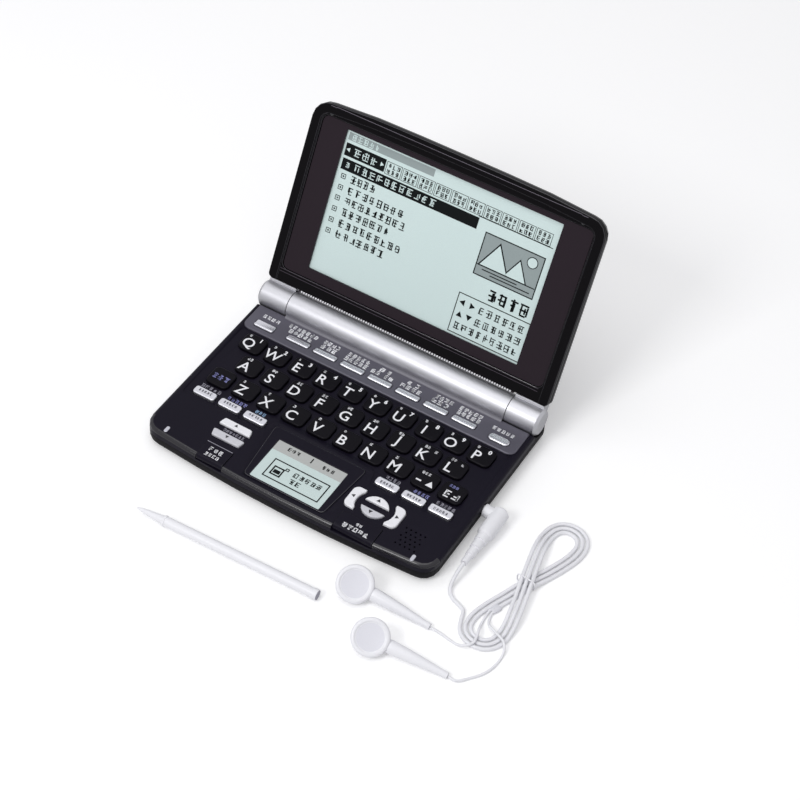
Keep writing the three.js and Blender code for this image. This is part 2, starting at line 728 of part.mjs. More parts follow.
// Round channel for the hinge, which runs right across both cases
const channel = cylinderX(
  CHANNEL_RADIUS,
  [-BODY_WIDTH, BODY_WIDTH],
  AXIS_Y,
  HINGE_HEIGHT,
  32,
);
const caseStepY = AXIS_Y - CELL_RADIUS;
const jackHole = cylinderX(
  PLUG_NECK_RADIUS + SEAM,
  [BODY_WIDTH / 2 - CASE_WALL - OVERRUN, BODY_WIDTH],
  JACK_Y,
  JACK_HEIGHT,
);

// Upper case: a moulded shell with the deck, the key openings and the sunken pan
const upperStart = SPLIT_HEIGHT + FIT;
const upperPlan = (inset) => bodyPlan(inset, CASE_REAR_Y, REAR_CORNER_RADIUS);
const deckEdge = roundedEdge(DECK_EDGE);
let upperCase = solid(
  loft([
    ring(upperPlan(0), upperStart),
    ...deckEdge.map(({ rise, inset }) => {
      return ring(upperPlan(inset), CASE_HEIGHT - DECK_EDGE + rise);
    }),
  ]),
);
const upperHollow = plate(upperPlan(CASE_WALL), upperStart - OVERRUN, DECK_UNDER);
const behindUpper = box(
  [-BODY_WIDTH, BODY_WIDTH],
  [caseStepY - FIT, BODY_DEPTH],
  [0, CASE_HEIGHT + OVERRUN],
);
const panHalf = HALF_WIDTH - PAN_MARGIN;
const panFloor = CASE_HEIGHT - PAN_DEPTH;
const panFront = FRONT_Y + PAN_FRONT_MARGIN;
const panMiddle = panFront + PAN_BAY_DEPTH;
const bayLeft = PANEL_OFFSET_X - SURROUND_REAR_HALF - PAN_BAY_MARGINS[0];
const bayRight = PANEL_OFFSET_X + SURROUND_REAR_HALF + PAN_BAY_MARGINS[1];
const panShape = roundPolygon(
  [
    [-panHalf, STRIP_FRONT_Y],
    [-panHalf, panFront],
    [bayLeft - PAN_SLANT, panFront],
    [bayLeft + PAN_SLANT, panMiddle],
    [bayRight - PAN_SLANT, panMiddle],
    [bayRight + PAN_SLANT, panFront],
    [panHalf, panFront],
    [panHalf, STRIP_FRONT_Y],
  ],
  PAN_RADIUS,
);
const pan = solid(hollowLoft([panFloor, CASE_HEIGHT + OVERRUN].map((z) => ring(panShape, z))));
const stripSeat = CASE_HEIGHT + STRIP_PROUD - STRIP_THICKNESS;
const stripRearY = AXIS_Y - Math.sqrt(CHANNEL_RADIUS ** 2 - (HINGE_HEIGHT - CASE_HEIGHT) ** 2);
const stripHalf = HALF_WIDTH - STRIP_SIDE_MARGIN;
function stripPlan(inset, rearY = stripRearY) {
  const half = stripHalf - inset;
  const front = STRIP_FRONT_Y + inset;
  const radius = STRIP_FRONT_RADIUS - inset;
  return [
    ...arc([radius - half, front + radius], radius, 180, 270, 4),
    ...arc([half - radius, front + radius], radius, 270, 360, 4),
    [half, rearY - inset],
    [-half, rearY - inset],
  ];
}
const stripRecess = plate(stripPlan(-FIT, BODY_DEPTH), stripSeat - FIT, CASE_HEIGHT + OVERRUN);

function surroundPlan(grow) {
  const x = PANEL_OFFSET_X;
  return roundPolygon(
    [
      [x - SURROUND_FRONT_HALF - grow, SURROUND_FRONT_Y - grow],
      [x + SURROUND_FRONT_HALF + grow, SURROUND_FRONT_Y - grow],
      [x + SURROUND_REAR_HALF + grow, SURROUND_REAR_Y + grow],
      [x - SURROUND_REAR_HALF - grow, SURROUND_REAR_Y + grow],
    ],
    SURROUND_RADIUS,
  );
}
const surroundSeat = CASE_HEIGHT + SURROUND_PROUD - SURROUND_THICKNESS;
const surroundRecess = plate(surroundPlan(FIT), surroundSeat - FIT, CASE_HEIGHT + OVERRUN);

const speakerHoles = [];
for (let row = 0; row < SPEAKER_HOLE_ROWS; row++) {
  const across = SPEAKER_HOLE_ROWS - (row % 2);
  for (let i = 0; i < across; i++) {
    const x = SPEAKER_CENTRE[0] + (i - (across - 1) / 2) * SPEAKER_HOLE_SPACING;
    const y = SPEAKER_CENTRE[1] + (row - (SPEAKER_HOLE_ROWS - 1) / 2) * SPEAKER_HOLE_SPACING;
    speakerHoles.push(
      cylinderZ(SPEAKER_HOLE_RADIUS, x, y, [DECK_UNDER - OVERRUN, CASE_HEIGHT + OVERRUN], 6),
    );
  }
}
upperCase = cutBy(upperCase, [
  upperHollow,
  behindUpper,
  channel,
  jackHole,
  pan,
  stripRecess,
  surroundRecess,
  ...openings,
  ...speakerHoles,
]);
place("upper_case", upperCase, BLACK);

// Function strip: a metallic plate let into the deck behind the letters
const stripTop = CASE_HEIGHT + STRIP_PROUD;
const strip = solid(
  loft([
    ring(stripPlan(0), stripSeat),
    ring(stripPlan(0), stripTop - STRIP_EDGE),
    ring(stripPlan(STRIP_EDGE), stripTop),
  ]),
);
place("function_strip", cutBy(strip, [channel, ...stripOpenings]), STRIP);

// Touch panel and the raised surround that frames it
const panelFront = SURROUND_FRONT_Y + SURROUND_FRONT;
const panelRear = SURROUND_REAR_Y - SURROUND_REAR;
const panelMiddle = [PANEL_OFFSET_X, (panelFront + panelRear) / 2];
const panelSize = [2 * (SURROUND_FRONT_HALF - SURROUND_SIDE), panelRear - panelFront];
const panelHole = plate(
  roundRect(panelMiddle, panelSize, SURROUND_RADIUS / 4, -FIT),
  surroundSeat - OVERRUN,
  CASE_HEIGHT + OVERRUN,
);
const surroundTop = CASE_HEIGHT + SURROUND_PROUD;
const surround = solid(
  loft([
    ring(surroundPlan(0), surroundSeat),
    ring(surroundPlan(0), surroundTop - STRIP_EDGE / 2),
    ring(surroundPlan(-STRIP_EDGE / 2), surroundTop),
  ]),
);
place("panel_surround", surround.subtract(panelHole), BLACK);
place(
  "touch_panel",
  plate(
    roundRect(panelMiddle, panelSize, SURROUND_RADIUS / 4),
    surroundSeat,
    surroundSeat + PANEL_THICKNESS,
  ),
  SCREEN,
);

// Lower case: a tray with a rear wall, screw bosses, foot recesses and the cell compartment
const lowerPlan = (inset) => bodyPlan(inset, CASE_REAR_Y, REAR_CORNER_RADIUS);
const undersideEdge = roundedEdge(UNDERSIDE_EDGE, 2).reverse();
let lowerCase = solid(
  loft([
    ...undersideEdge.map(({ rise, inset }) => ring(lowerPlan(inset), UNDERSIDE_EDGE - rise)),
    ring(lowerPlan(0), REAR_WALL_HEIGHT),
  ]),
);
const trayHollow = plate(
  bodyPlan(CASE_WALL, caseStepY - CELL_GAP - FIT, REAR_CORNER_RADIUS),
  LOWER_FLOOR,
  CASE_HEIGHT,
);
const aboveTray = box(
  [-BODY_WIDTH, BODY_WIDTH],
  [FRONT_Y - OVERRUN, caseStepY],
  [SPLIT_HEIGHT, CASE_HEIGHT],
);
const cellRoom = CELL_RADIUS + CELL_GAP;
const compartment = box(
  [-CELLS_HALF, CELLS_HALF],
  [AXIS_Y - cellRoom, BODY_DEPTH],
  [-OVERRUN, HINGE_HEIGHT],
);
const bossXs = [-1, 1].map((side) => side * (BODY_WIDTH / 2 - BOSS_INSET));
const bossYs = [FRONT_Y + FRONT_BOW + BOSS_INSET, AXIS_Y - CHANNEL_RADIUS - BOSS_RADIUS * 2];
const bosses = bossXs.flatMap((x) => {
  return bossYs.map((y) => cylinderZ(BOSS_RADIUS, x, y, [0, SPLIT_HEIGHT], 12));
});
const footXs = [-1, 1].map((side) => side * (BODY_WIDTH / 2 - FOOT_INSET_X));
const footYs = [FRONT_Y + FOOT_INSET_FRONT, CASE_REAR_Y - FOOT_INSET_REAR];
const footSpots = footYs.flatMap((y, row) => {
  return footXs.map((x, column) => ({
    name: "foot_" + ["front", "rear"][row] + "_" + ["left", "right"][column],
    x,
    y,
  }));
});
const footRecesses = footSpots.map(({ x, y }) => {
  return cylinderZ(FOOT_RADIUS + FIT, x, y, [-OVERRUN, FOOT_RECESS]);
});
lowerCase = cutBy(lowerCase, [trayHollow, aboveTray, channel, compartment, jackHole]);
lowerCase = cutBy(joined([lowerCase, ...bosses]), footRecesses);
place("lower_case", lowerCase, BLACK);

for (const { name, x, y } of footSpots) {
  const profile = [
    [FOOT_RADIUS - FOOT_PROUD / 2, FLOOR_Z],
    [FOOT_RADIUS, FLOOR_Z + FOOT_PROUD / 2],
    [FOOT_RADIUS, FOOT_RECESS],
  ];
  place(name, solid(turned(profile, 20).translate(x, y, 0)), RUBBER);
}

// Cell cover: closes the compartment from below and behind, with tongues under the case floor
const coverHalf = CELLS_HALF - FIT;
const coverFrontY = AXIS_Y - cellRoom + FIT;
const coverBlock = solid(
  loft([
    ...undersideEdge.map(({ rise, inset }) => ring(lowerPlan(inset), UNDERSIDE_EDGE - rise)),
    ring(lowerPlan(0), REAR_WALL_HEIGHT),
  ]),
);
const coverZone = box([-coverHalf, coverHalf], [coverFrontY, BODY_DEPTH], [-OVERRUN, CASE_HEIGHT]);
const coverRoomFloor = COVER_THICKNESS;
const coverRoom = box(
  [-BODY_WIDTH, BODY_WIDTH],
  [coverFrontY - OVERRUN, AXIS_Y + cellRoom],
  [coverRoomFloor, CASE_HEIGHT],
);
const coverBody = cutBy(coverBlock.intersect(coverZone), [coverRoom, channel]);
place("battery_cover", coverBody, BLACK);

// Two round cells, end to end
const cellHeight = COVER_THICKNESS + CELL_GAP + CELL_RADIUS;
for (const [name, side] of [
  ["battery_left", -1],
  ["battery_right", 1],
]) {
  const start = side < 0 ? -CELL_LENGTH - CELL_NUB_LENGTH - FIT : FIT;
  const body = cylinderX(CELL_RADIUS, [start, start + CELL_LENGTH], AXIS_Y, cellHeight, 20);
  const nubEnd = start + CELL_LENGTH + CELL_NUB_LENGTH;
  const nub = cylinderX(CELL_NUB_RADIUS, [start + CELL_LENGTH / 2, nubEnd], AXIS_Y, cellHeight, 12);
  place(name, body.add(nub), STEEL);
}

// Hinge barrel: a tube over the cells, open below, with thick end walls for the hinge pins
const barrelInner = BARREL_RADIUS - BARREL_WALL;
const barrelTube = cylinderX(BARREL_RADIUS, [-BARREL_HALF, BARREL_HALF], AXIS_Y, HINGE_HEIGHT, 32);
const barrelBore = cylinderX(barrelInner, [-BARREL_ROOM_HALF, BARREL_ROOM_HALF], AXIS_Y, HINGE_HEIGHT, 24);
const cellClearance = cylinderX(cellRoom, [-BARREL_ROOM_HALF, BARREL_ROOM_HALF], AXIS_Y, cellHeight, 24);
const belowSkirt = box(
  [-CELLS_HALF, CELLS_HALF],
  [AXIS_Y - BODY_DEPTH, BODY_DEPTH],
  [-OVERRUN, BARREL_SKIRT_HEIGHT],
);
const pinBores = [-1, 1].map((side) => {
  const ends = [side * (BARREL_ROOM_HALF - OVERRUN), side * (BARREL_HALF + OVERRUN)];
  const span = ends.sort((a, b) => a - b);
  return cylinderX(HINGE_PIN_RADIUS + PIN_GAP, span, AXIS_Y, HINGE_HEIGHT, 16);
});
const barrel = cutBy(barrelTube, [barrelBore, cellClearance, belowSkirt, ...pinBores]);
place("hinge_barrel", barrel, SILVER);

for (const [name, side] of [
  ["hinge_pin_left", -1],
  ["hinge_pin_right", 1],
]) {
  const inner = side * BARREL_ROOM_HALF;
  const span = [inner, inner + side * HINGE_PIN_LENGTH].sort((a, b) => a - b);
  place(name, cylinderX(HINGE_PIN_RADIUS, span, AXIS_Y, HINGE_HEIGHT, 16), STEEL);
}

// Board and the rubber key mat, with a dome under each key
function innerPlan(margin) {
  const rear = AXIS_Y - BOARD_REAR_MARGIN + margin;
  return bodyPlan(margin, rear, REAR_CORNER_RADIUS * 3, BASE_FRONT, 2, 4);
}
const boardTop = BOARD_HEIGHT + BOARD_THICKNESS;
const bossHoles = bossXs.flatMap((x) => {
  return bossYs.map((y) => cylinderZ(BOSS_RADIUS + FIT, x, y, [0, CASE_HEIGHT], 12));
});
const jackBlock = {
  x: [BODY_WIDTH / 2 - CASE_WALL - SEAM - JACK_SIZE[0], BODY_WIDTH / 2 - CASE_WALL - SEAM],
  y: [JACK_Y - JACK_SIZE[1] / 2, JACK_Y + JACK_SIZE[1] / 2],
  z: [JACK_HEIGHT - JACK_SIZE[2] / 2, JACK_HEIGHT + JACK_SIZE[2] / 2],
};
const jackRoom = box(
  [jackBlock.x[0] - SEAM, BODY_WIDTH],
  [jackBlock.y[0] - SEAM, jackBlock.y[1] + SEAM],
  [0, CASE_HEIGHT],
);
const board = plate(innerPlan(BOARD_MARGIN), BOARD_HEIGHT, boardTop);
place("main_board", cutBy(board, [...bossHoles, jackRoom]), BOARD);

const matBottom = boardTop + MAT_GAP;
const matTop = matBottom + MAT_THICKNESS;
const domeTop = KEY_BOTTOM - DOME_CLEARANCE;
const domeSolids = domes.map(([x, y]) => {
  const rings = [
    [DOME_HALF, matBottom],
    [DOME_HALF, matTop],
    [DOME_HALF * DOME_TOP_SHARE, domeTop],
  ];
  return solid(
    loft(rings.map(([half, z]) => ring(arc([x, y], half, 45, 315, 3), z))),
  );
});
const matPlate = plate(innerPlan(BOARD_MARGIN), matBottom, matTop);
const mat = joined([matPlate, ...domeSolids]);
const speakerRoom = cylinderZ(
  SPEAKER_RADIUS + SEAM,
  ...SPEAKER_CENTRE,
  [DECK_UNDER - SEAM - SPEAKER_THICKNESS - SEAM, CASE_HEIGHT],
);
place("keypad_mat", cutBy(mat, [...bossHoles, jackRoom, speakerRoom]), RUBBER);

// Speaker under its grille
const speakerTop = DECK_UNDER - FIT;
place(
  "speaker",
  cylinderZ(SPEAKER_RADIUS, ...SPEAKER_CENTRE, [speakerTop - SPEAKER_THICKNESS, speakerTop]),
  STEEL,
);

// Earphone jack with its bore
const pinTip = BODY_WIDTH / 2 + SEAM - PLUG_PIN_LENGTH;
const jackBore = cylinderX(
  PLUG_PIN_RADIUS + SEAM,
  [pinTip - SEAM, BODY_WIDTH],
  JACK_Y,
  JACK_HEIGHT,
  16,
);
place("earphone_jack", box(jackBlock.x, jackBlock.y, jackBlock.z).subtract(jackBore), RUBBER);

// Lid, drawn closed over the base and then turned open about the hinge axis
const lidRearY = AXIS_Y - BARREL_RADIUS - LID_HINGE_CLEARANCE;
const lidPlan = (inset) => bodyPlan(inset, lidRearY, LID_REAR_RADIUS, LID_FRONT);
const rimZ = CASE_HEIGHT + LID_RIM_GAP;
const faceZ = CASE_HEIGHT + LID_FACE_GAP;
const rimEdge = roundedEdge(LID_RIM_EDGE, 2).reverse();
const frameTop = LID_MATING_HEIGHT;
const frameBlank = solid(
  loft([
    ...rimEdge.map(({ rise, inset }) => ring(lidPlan(inset), rimZ + LID_RIM_EDGE - rise)),
    ring(lidPlan(0), frameTop),
  ]),
);
const facePlan = bodyPlan(LID_RIM_WIDTH, BODY_DEPTH, LID_REAR_RADIUS, LID_FRONT);
const facePocket = plate(facePlan, rimZ - OVERRUN, faceZ);
const windowHalf = HALF_WIDTH - WINDOW_SIDE_MARGIN;
const windowFrontY = FRONT_Y + WINDOW_FAR_MARGIN;
const windowRearY = AXIS_Y - WINDOW_NEAR;
const windowSize = [2 * windowHalf, windowRearY - windowFrontY];
const windowMiddle = [0, (windowRearY + windowFrontY) / 2];
const windowHole = plate(
  roundRect(windowMiddle, windowSize, WINDOW_RADIUS, 0, 3),
  rimZ - OVERRUN,
  frameTop + OVERRUN,
);
place("lid_frame", cutBy(frameBlank, [facePocket, windowHole]), GLOSS, lid);

const bezelFront = faceZ + BEZEL_RECESS;
const screenX = [SCREEN_LEFT_BORDER - windowHalf, windowHalf - SCREEN_RIGHT_BORDER];
const screenY = [windowFrontY + SCREEN_FAR_BORDER, windowRearY - SCREEN_NEAR_BORDER];
const screenMiddle = [(screenX[0] + screenX[1]) / 2, (screenY[0] + screenY[1]) / 2];
const screenSize = [screenX[1] - screenX[0], screenY[1] - screenY[0]];
const screenOpening = plate(
  roundRect(screenMiddle, screenSize, STRIP_EDGE),
  bezelFront - OVERRUN,
  frameTop + OVERRUN,
);
const bezelPlate = plate(
  roundRect(windowMiddle, windowSize, WINDOW_RADIUS, SEAM, 3),
  bezelFront,
  bezelFront + BEZEL_THICKNESS,
);
place("screen_bezel", bezelPlate.subtract(screenOpening), INNER, lid);

const screenFront = bezelFront + BEZEL_THICKNESS + SEAM;
const screenOuter = screenSize.map((one) => one + 2 * SCREEN_MARGIN);
place(
  "main_screen",
  plate(
    roundRect(screenMiddle, screenOuter, STRIP_EDGE * 2),
    screenFront,
    screenFront + SCREEN_THICKNESS,
  ),
  SCREEN,
  lid,
);

const coverStart = frameTop + SEAM;
const lidTopAt = (y) => {
  const along = (y - FRONT_Y) / (lidRearY - FRONT_Y);
  return LID_FRONT_TOP + (LID_REAR_TOP - LID_FRONT_TOP) * along;
};
const lidEdge = roundedEdge(LID_EDGE, 3);
const lidShell = solid(
  loft([
    ring(lidPlan(0), coverStart),
    ...lidEdge.map(({ rise, inset }) => {
      return ring(lidPlan(inset), (y) => lidTopAt(y) - LID_EDGE + rise);
    }),
  ]),
);
const lidHollow = solid(
  loft([
    ring(lidPlan(LID_WALL), coverStart - OVERRUN),
    ring(lidPlan(LID_WALL), (y) => lidTopAt(y) - LID_WALL),
  ]),
);
place("lid_cover", lidShell.subtract(lidHollow), GLOSS, lid);

for (const [name, side] of [
  ["hinge_cap_left", -1],
  ["hinge_cap_right", 1],
]) {
  const start = BARREL_HALF + SEAM;
  const end = HALF_WIDTH;
  const profile = [
    [BARREL_RADIUS, start],
    [BARREL_RADIUS, end - CAP_CHAMFER],
    [BARREL_RADIUS - CAP_CHAMFER, end],
  ];
  const round = turned(profile, 32).rotateY(side * (Math.PI / 2));
  const body = solid(round.translate(0, AXIS_Y, HINGE_HEIGHT));
  const neckEnds = [side * start, side * (end - CAP_CHAMFER)].sort((a, b) => a - b);
  const neck = box(
    neckEnds,
    [lidRearY + SEAM, lidRearY + LID_HINGE_CLEARANCE + CAP_NECK],
    [faceZ, LID_REAR_TOP - LID_EDGE / 2],
  );
  const boreEnds = [side * (start - OVERRUN), side * (start + HINGE_PIN_LENGTH)];
  const bore = cylinderX(
    HINGE_PIN_RADIUS + SEAM,
    boreEnds.sort((a, b) => a - b),
    AXIS_Y,
    HINGE_HEIGHT,
    16,
  );
  place(name, body.add(neck).subtract(bore), SILVER, lid);
}

const trimStart = faceZ + FIT;
place(
  "lid_trim",
  box(
    [TRIM_END_GAP - BARREL_HALF, BARREL_HALF - TRIM_END_GAP],
    [lidRearY + FIT, lidRearY + FIT + TRIM_HEIGHT],
    [trimStart, trimStart + TRIM_WIDTH],
  ),
  SILVER,
  lid,
);

// Earphone plug: the pin, a neck, the turned body and its ribbed strain relief in one moulding
const plugBodyX = BODY_WIDTH / 2 + SEAM + PLUG_NECK_LENGTH + PLUG_BODY_RADIUS;
const plugBodyRear = JACK_Y + PLUG_NECK_RADIUS + SEAM;
const plugBodyFront = plugBodyRear - PLUG_BODY_LENGTH;
const reliefEndY = plugBodyFront - RELIEF_LENGTH;

function turnedForwards(profile, x, startY, z, sides) {
  return solid(turned(profile, sides).rotateX(Math.PI / 2).translate(x, startY, z));
}
const bodyProfile = [
  [PLUG_BODY_RADIUS * 0.7, 0],
  [PLUG_BODY_RADIUS, PLUG_BODY_RADIUS * 0.3],
  [PLUG_BODY_RADIUS, PLUG_BODY_LENGTH - PLUG_BODY_RADIUS * 0.3],
  [PLUG_BODY_RADIUS * 0.8, PLUG_BODY_LENGTH],
];
const ribPitch = RELIEF_LENGTH / (RELIEF_RIBS + 1);
const reliefProfile = [];
for (let i = 0; i <= RELIEF_RIBS; i++) {
  const share = i / RELIEF_RIBS;
  const outer = RELIEF_START_RADIUS + (RELIEF_END_RADIUS - RELIEF_START_RADIUS) * share;
  const start = i === 0 ? PLUG_BODY_LENGTH - OVERRUN : PLUG_BODY_LENGTH + i * ribPitch;
  const end = PLUG_BODY_LENGTH + (i + 1) * ribPitch;
  reliefProfile.push([outer, start], [outer, end - RELIEF_GROOVE * 2]);
  if (i < RELIEF_RIBS) {
    reliefProfile.push([outer - RELIEF_GROOVE, end - RELIEF_GROOVE * 2]);
    reliefProfile.push([outer - RELIEF_GROOVE, end]);
  }
}
const reliefEnd = plugBodyRear - reliefProfile.at(-1)[1];
const plug = joined([
  cylinderX(
    PLUG_PIN_RADIUS,
    [pinTip, BODY_WIDTH / 2 + SEAM + PLUG_NECK_LENGTH],
    JACK_Y,
    JACK_HEIGHT,
    16,
  ),
  cylinderX(PLUG_NECK_RADIUS, [BODY_WIDTH / 2 + SEAM, plugBodyX], JACK_Y, JACK_HEIGHT, 20),
  turnedForwards(bodyProfile, plugBodyX, plugBodyRear, JACK_HEIGHT, 16),
  turnedForwards(reliefProfile, plugBodyX, plugBodyRear, JACK_HEIGHT, 12),
]);
place("earphone_plug", plug, WHITE);

// Hank: the cord laid in a figure of eight whose loops lie beside one another and cross at the waist
const cordRadius = CORD_DIAMETER / 2;
const restZ = FLOOR_Z + cordRadius;

function smoothStep(value) {
  const t = Math.min(Math.max(value, 0), 1);
  return t * t * (3 - 2 * t);
}

// The middle of the eight: along is measured towards the far lobe, across to the left of it.
function eight(angle) {
  const fullness = 1 + HANK_FULLNESS_SHARE * Math.cos(angle) ** 2;
  const along = HANK_HALF_LENGTH * Math.cos(angle);
  const across = -HANK_HALF_WIDTH * Math.sin(2 * angle) * fullness;
  return new THREE.Vector2(along, across);
}

function hankPoint(turns) {
  const angle = (HANK_START_SHARE + 2 * turns) * Math.PI;
  const nudge = Math.PI / 1000;
  const here = eight(angle);
  const ahead = eight(angle + nudge).sub(eight(angle - nudge)).normalize();
  const offset = (turns - HANK_LOOPS / 2) * HANK_SPACING;
  const along = here.x - ahead.y * offset;
  const across = here.y + ahead.x * offset;
  const reach = Math.abs(along);
  const ramp = HANK_HUMP_END - HANK_HUMP_LEVEL;
  const goingBack = ahead.x < 0 ? 0 : 1;
  const over = goingBack * HANK_SPACING * smoothStep((HANK_HUMP_END - reach) / ramp);
  const lift = TIE_LIFT * smoothStep(1 - reach / TIE_LIFT_REACH);
  const turn = (90 + HANK_TURN) * DEG;
  return new THREE.Vector3(
    plugBodyX + HANK_OFFSET[0] + along * Math.cos(turn) - across * Math.sin(turn),
    reliefEnd + HANK_OFFSET[1] + along * Math.sin(turn) + across * Math.cos(turn),
    restZ + over + lift,
  );
}

const hankSteps = Math.round(HANK_LOOPS * HANK_STEPS_A_LOOP);
const hankPoints = Array.from({ length: hankSteps + 1 }, (_, i) => {
  return hankPoint((HANK_LOOPS * i) / hankSteps);
});

// The least gap of the hank to itself, measured between points more than a few diameters apart on it
function leastGap(points, diameter) {
  const spacing = points[0].distanceTo(points[1]);
  const skip = Math.ceil((4 * diameter) / spacing);
  let least = Infinity;
  points.forEach((a, i) => {
    for (let j = i + skip; j + 1 < points.length; j++) {
      const line = new THREE.Line3(points[j], points[j + 1]);
      const near = line.closestPointToPoint(a, true, new THREE.Vector3());
      least = Math.min(least, near.distanceTo(a));
    }
  });
  return least - diameter;
}

// Rings square to a path of points, each turned as little as possible from the one before
function tubeRings(points, radius, sides) {
  const count = points.length;
  const rings = [];
  let across = null;
  for (let i = 0; i < count; i++) {
    const before = points[Math.max(i - 1, 0)];
    const after = points[Math.min(i + 1, count - 1)];
    const ahead = after.clone().sub(before).normalize();
    across = (across ?? new THREE.Vector3(0, 0, 1)).clone();
    across.addScaledVector(ahead, -across.dot(ahead)).normalize();
    const side = ahead.clone().cross(across);
    rings.push(
      Array.from({ length: sides }, (_, k) => {
        const angle = (2 * Math.PI * (k + 0.5)) / sides;
        const point = points[i].clone().addScaledVector(across, radius * Math.cos(angle));
        return point.addScaledVector(side, radius * Math.sin(angle));
      }),
    );
  }
  return rings;
}

function straightEnds(points, length) {
  const first = points[1].clone().sub(points[0]).setLength(length);
  const last = points.at(-2).clone().sub(points.at(-1)).setLength(length);
  return [points[0].clone().sub(first), ...points, points.at(-1).clone().sub(last)];
}

const hankPath = straightEnds(hankPoints, CORD_DIAMETER);
console.log("least gap of the hank to itself:", leastGap(hankPath, CORD_DIAMETER).toFixed(2));
place("cord_hank", solid(loft(tubeRings(hankPath, cordRadius, HANK_SIDES))), WHITE);

// Cord from the strain relief to the hank, and the twin leads from the hank to the earbuds
function smoothPath(points, step) {
  const curve = new THREE.CatmullRomCurve3(points, false, "centripetal");
  return curve.getSpacedPoints(Math.round(curve.getLength() / step));
}

function cordNode(name, points, diameter) {
  const path = smoothPath(points, CORD_STEP_SHARE * diameter);
  place(name, solid(loft(tubeRings(path, diameter / 2, 8))), WHITE);
}

function along(from, to, distance) {
  return from.clone().add(to.clone().sub(from).setLength(distance));
}

// Places on the table are measured from the end of the strain relief, and up from the floor
function fromPlug([x, y], height) {
  return new THREE.Vector3(plugBodyX + x, reliefEnd + y, FLOOR_Z + height);
}

const hankIn = along(hankPath[0], hankPath[1], -SEAM);
const beforeHank = along(hankPath[0], hankPath[1], -CORD_STEP_SHARE * CORD_DIAMETER);
const reliefOut = new THREE.Vector3(plugBodyX, reliefEnd - SEAM, JACK_HEIGHT);
const cordRoute = [
  reliefOut,
  ...CORD_ROUTE.map(([x, y, height]) => fromPlug([x, y], height)),
  beforeHank,
  hankIn,
];
cordNode("earphone_cord", cordRoute, CORD_DIAMETER);

// Earbuds: a round head with a rim, tilted to lie on its edge, and a tapered stem
function earbud(name, headPlace, stemEndPlace) {
  const head = fromPlug(headPlace, 0);
  const profile = [
    [BUD_BACK_RADIUS, -BUD_RIM - BUD_BACK],
    [BUD_RADIUS * 0.8, -BUD_RIM - BUD_BACK * 0.45],
    [BUD_RADIUS, -BUD_RIM],
    [BUD_RADIUS, -BUD_RIM / 3],
    [BUD_RADIUS - BUD_RIM / 3, 0],
  ];
  const tilt = new THREE.Euler(BUD_TILT * DEG, 0, BUD_TURN * DEG, "ZXY");
  const lathe = turned(profile, 20);
  lathe.applyMatrix4(new THREE.Matrix4().makeRotationFromEuler(tilt));
  lathe.computeBoundingBox();
  const faceHeight = FLOOR_Z - lathe.boundingBox.min.z;
  const headSolid = solid(lathe.translate(head.x, head.y, faceHeight));
  const down = new THREE.Vector3(0, 0, -1).applyEuler(tilt);
  const start = head.clone().setZ(faceHeight);
  start.addScaledVector(down, BUD_RIM + BUD_BACK / 2);
  start.z = Math.max(start.z, FLOOR_Z + STEM_START_RADIUS);
  const end = fromPlug(stemEndPlace, STEM_END_RADIUS);
  const steps = 5;
  const rings = Array.from({ length: steps + 1 }, (_, i) => {
    const share = i / steps;
    const radius = STEM_START_RADIUS + (STEM_END_RADIUS - STEM_START_RADIUS) * share ** 1.5;
    const centre = start.clone().lerp(end, share);
    centre.z = FLOOR_Z + radius + (start.z - FLOOR_Z - STEM_START_RADIUS) * (1 - share);
    return { centre, radius };
  });
  const stemRings = rings.map(({ centre, radius }, i) => {
    const next = rings[Math.min(i + 1, steps)].centre;
    const ahead = next.clone().sub(rings[Math.max(i - 1, 0)].centre);
    ahead.setZ(0).normalize();
    const side = new THREE.Vector3(0, 0, 1).cross(ahead);
    return Array.from({ length: 12 }, (_, k) => {
      const angle = (2 * Math.PI * k) / 12;
      const point = centre.clone().addScaledVector(side, radius * Math.cos(angle));
      return point.setZ(centre.z + radius * Math.sin(angle));
    });
  });
  const stem = solid(loft(stemRings));
  place(name, headSolid.add(stem), WHITE);
  const endRing = rings.at(-1).centre;
  const direction = endRing.clone().sub(rings.at(-2).centre).setZ(0).normalize();
  return { end: endRing, direction };
}

const budA = earbud("earbud_a", BUD_A_HEAD, BUD_A_STEM_END);
const budB = earbud("earbud_b", BUD_B_HEAD, BUD_B_STEM_END);
const leadRadius = LEAD_DIAMETER / 2;
const leadRestZ = FLOOR_Z + leadRadius;
const hankOut = hankPath.at(-1);
const outward = hankOut.clone().sub(hankPath.at(-2)).normalize();
const sideways = outward.clone().cross(new THREE.Vector3(0, 0, 1));

function leadStart(side) {
  const offset = side * (leadRadius + SEAM / 2);
  return hankOut.clone().addScaledVector(outward, SEAM).addScaledVector(sideways, offset);
}

function budJoin({ end, direction }, distance) {
  return end.clone().addScaledVector(direction, SEAM + distance).setZ(leadRestZ + SEAM);
}

function lead(name, side, route, bud) {
  const start = leadStart(side);
  const points = [
    start,
    start.clone().addScaledVector(outward, 2 * LEAD_DIAMETER),
    ...route.map(([x, y, height]) => fromPlug([x, y], height)),
    budJoin(bud, 3 * LEAD_DIAMETER),
    budJoin(bud, 0),
  ];
  cordNode(name, points, LEAD_DIAMETER);
}
lead("lead_a", 1, LEAD_A_ROUTE, budA);
lead("lead_b", -1, LEAD_B_ROUTE, budB);

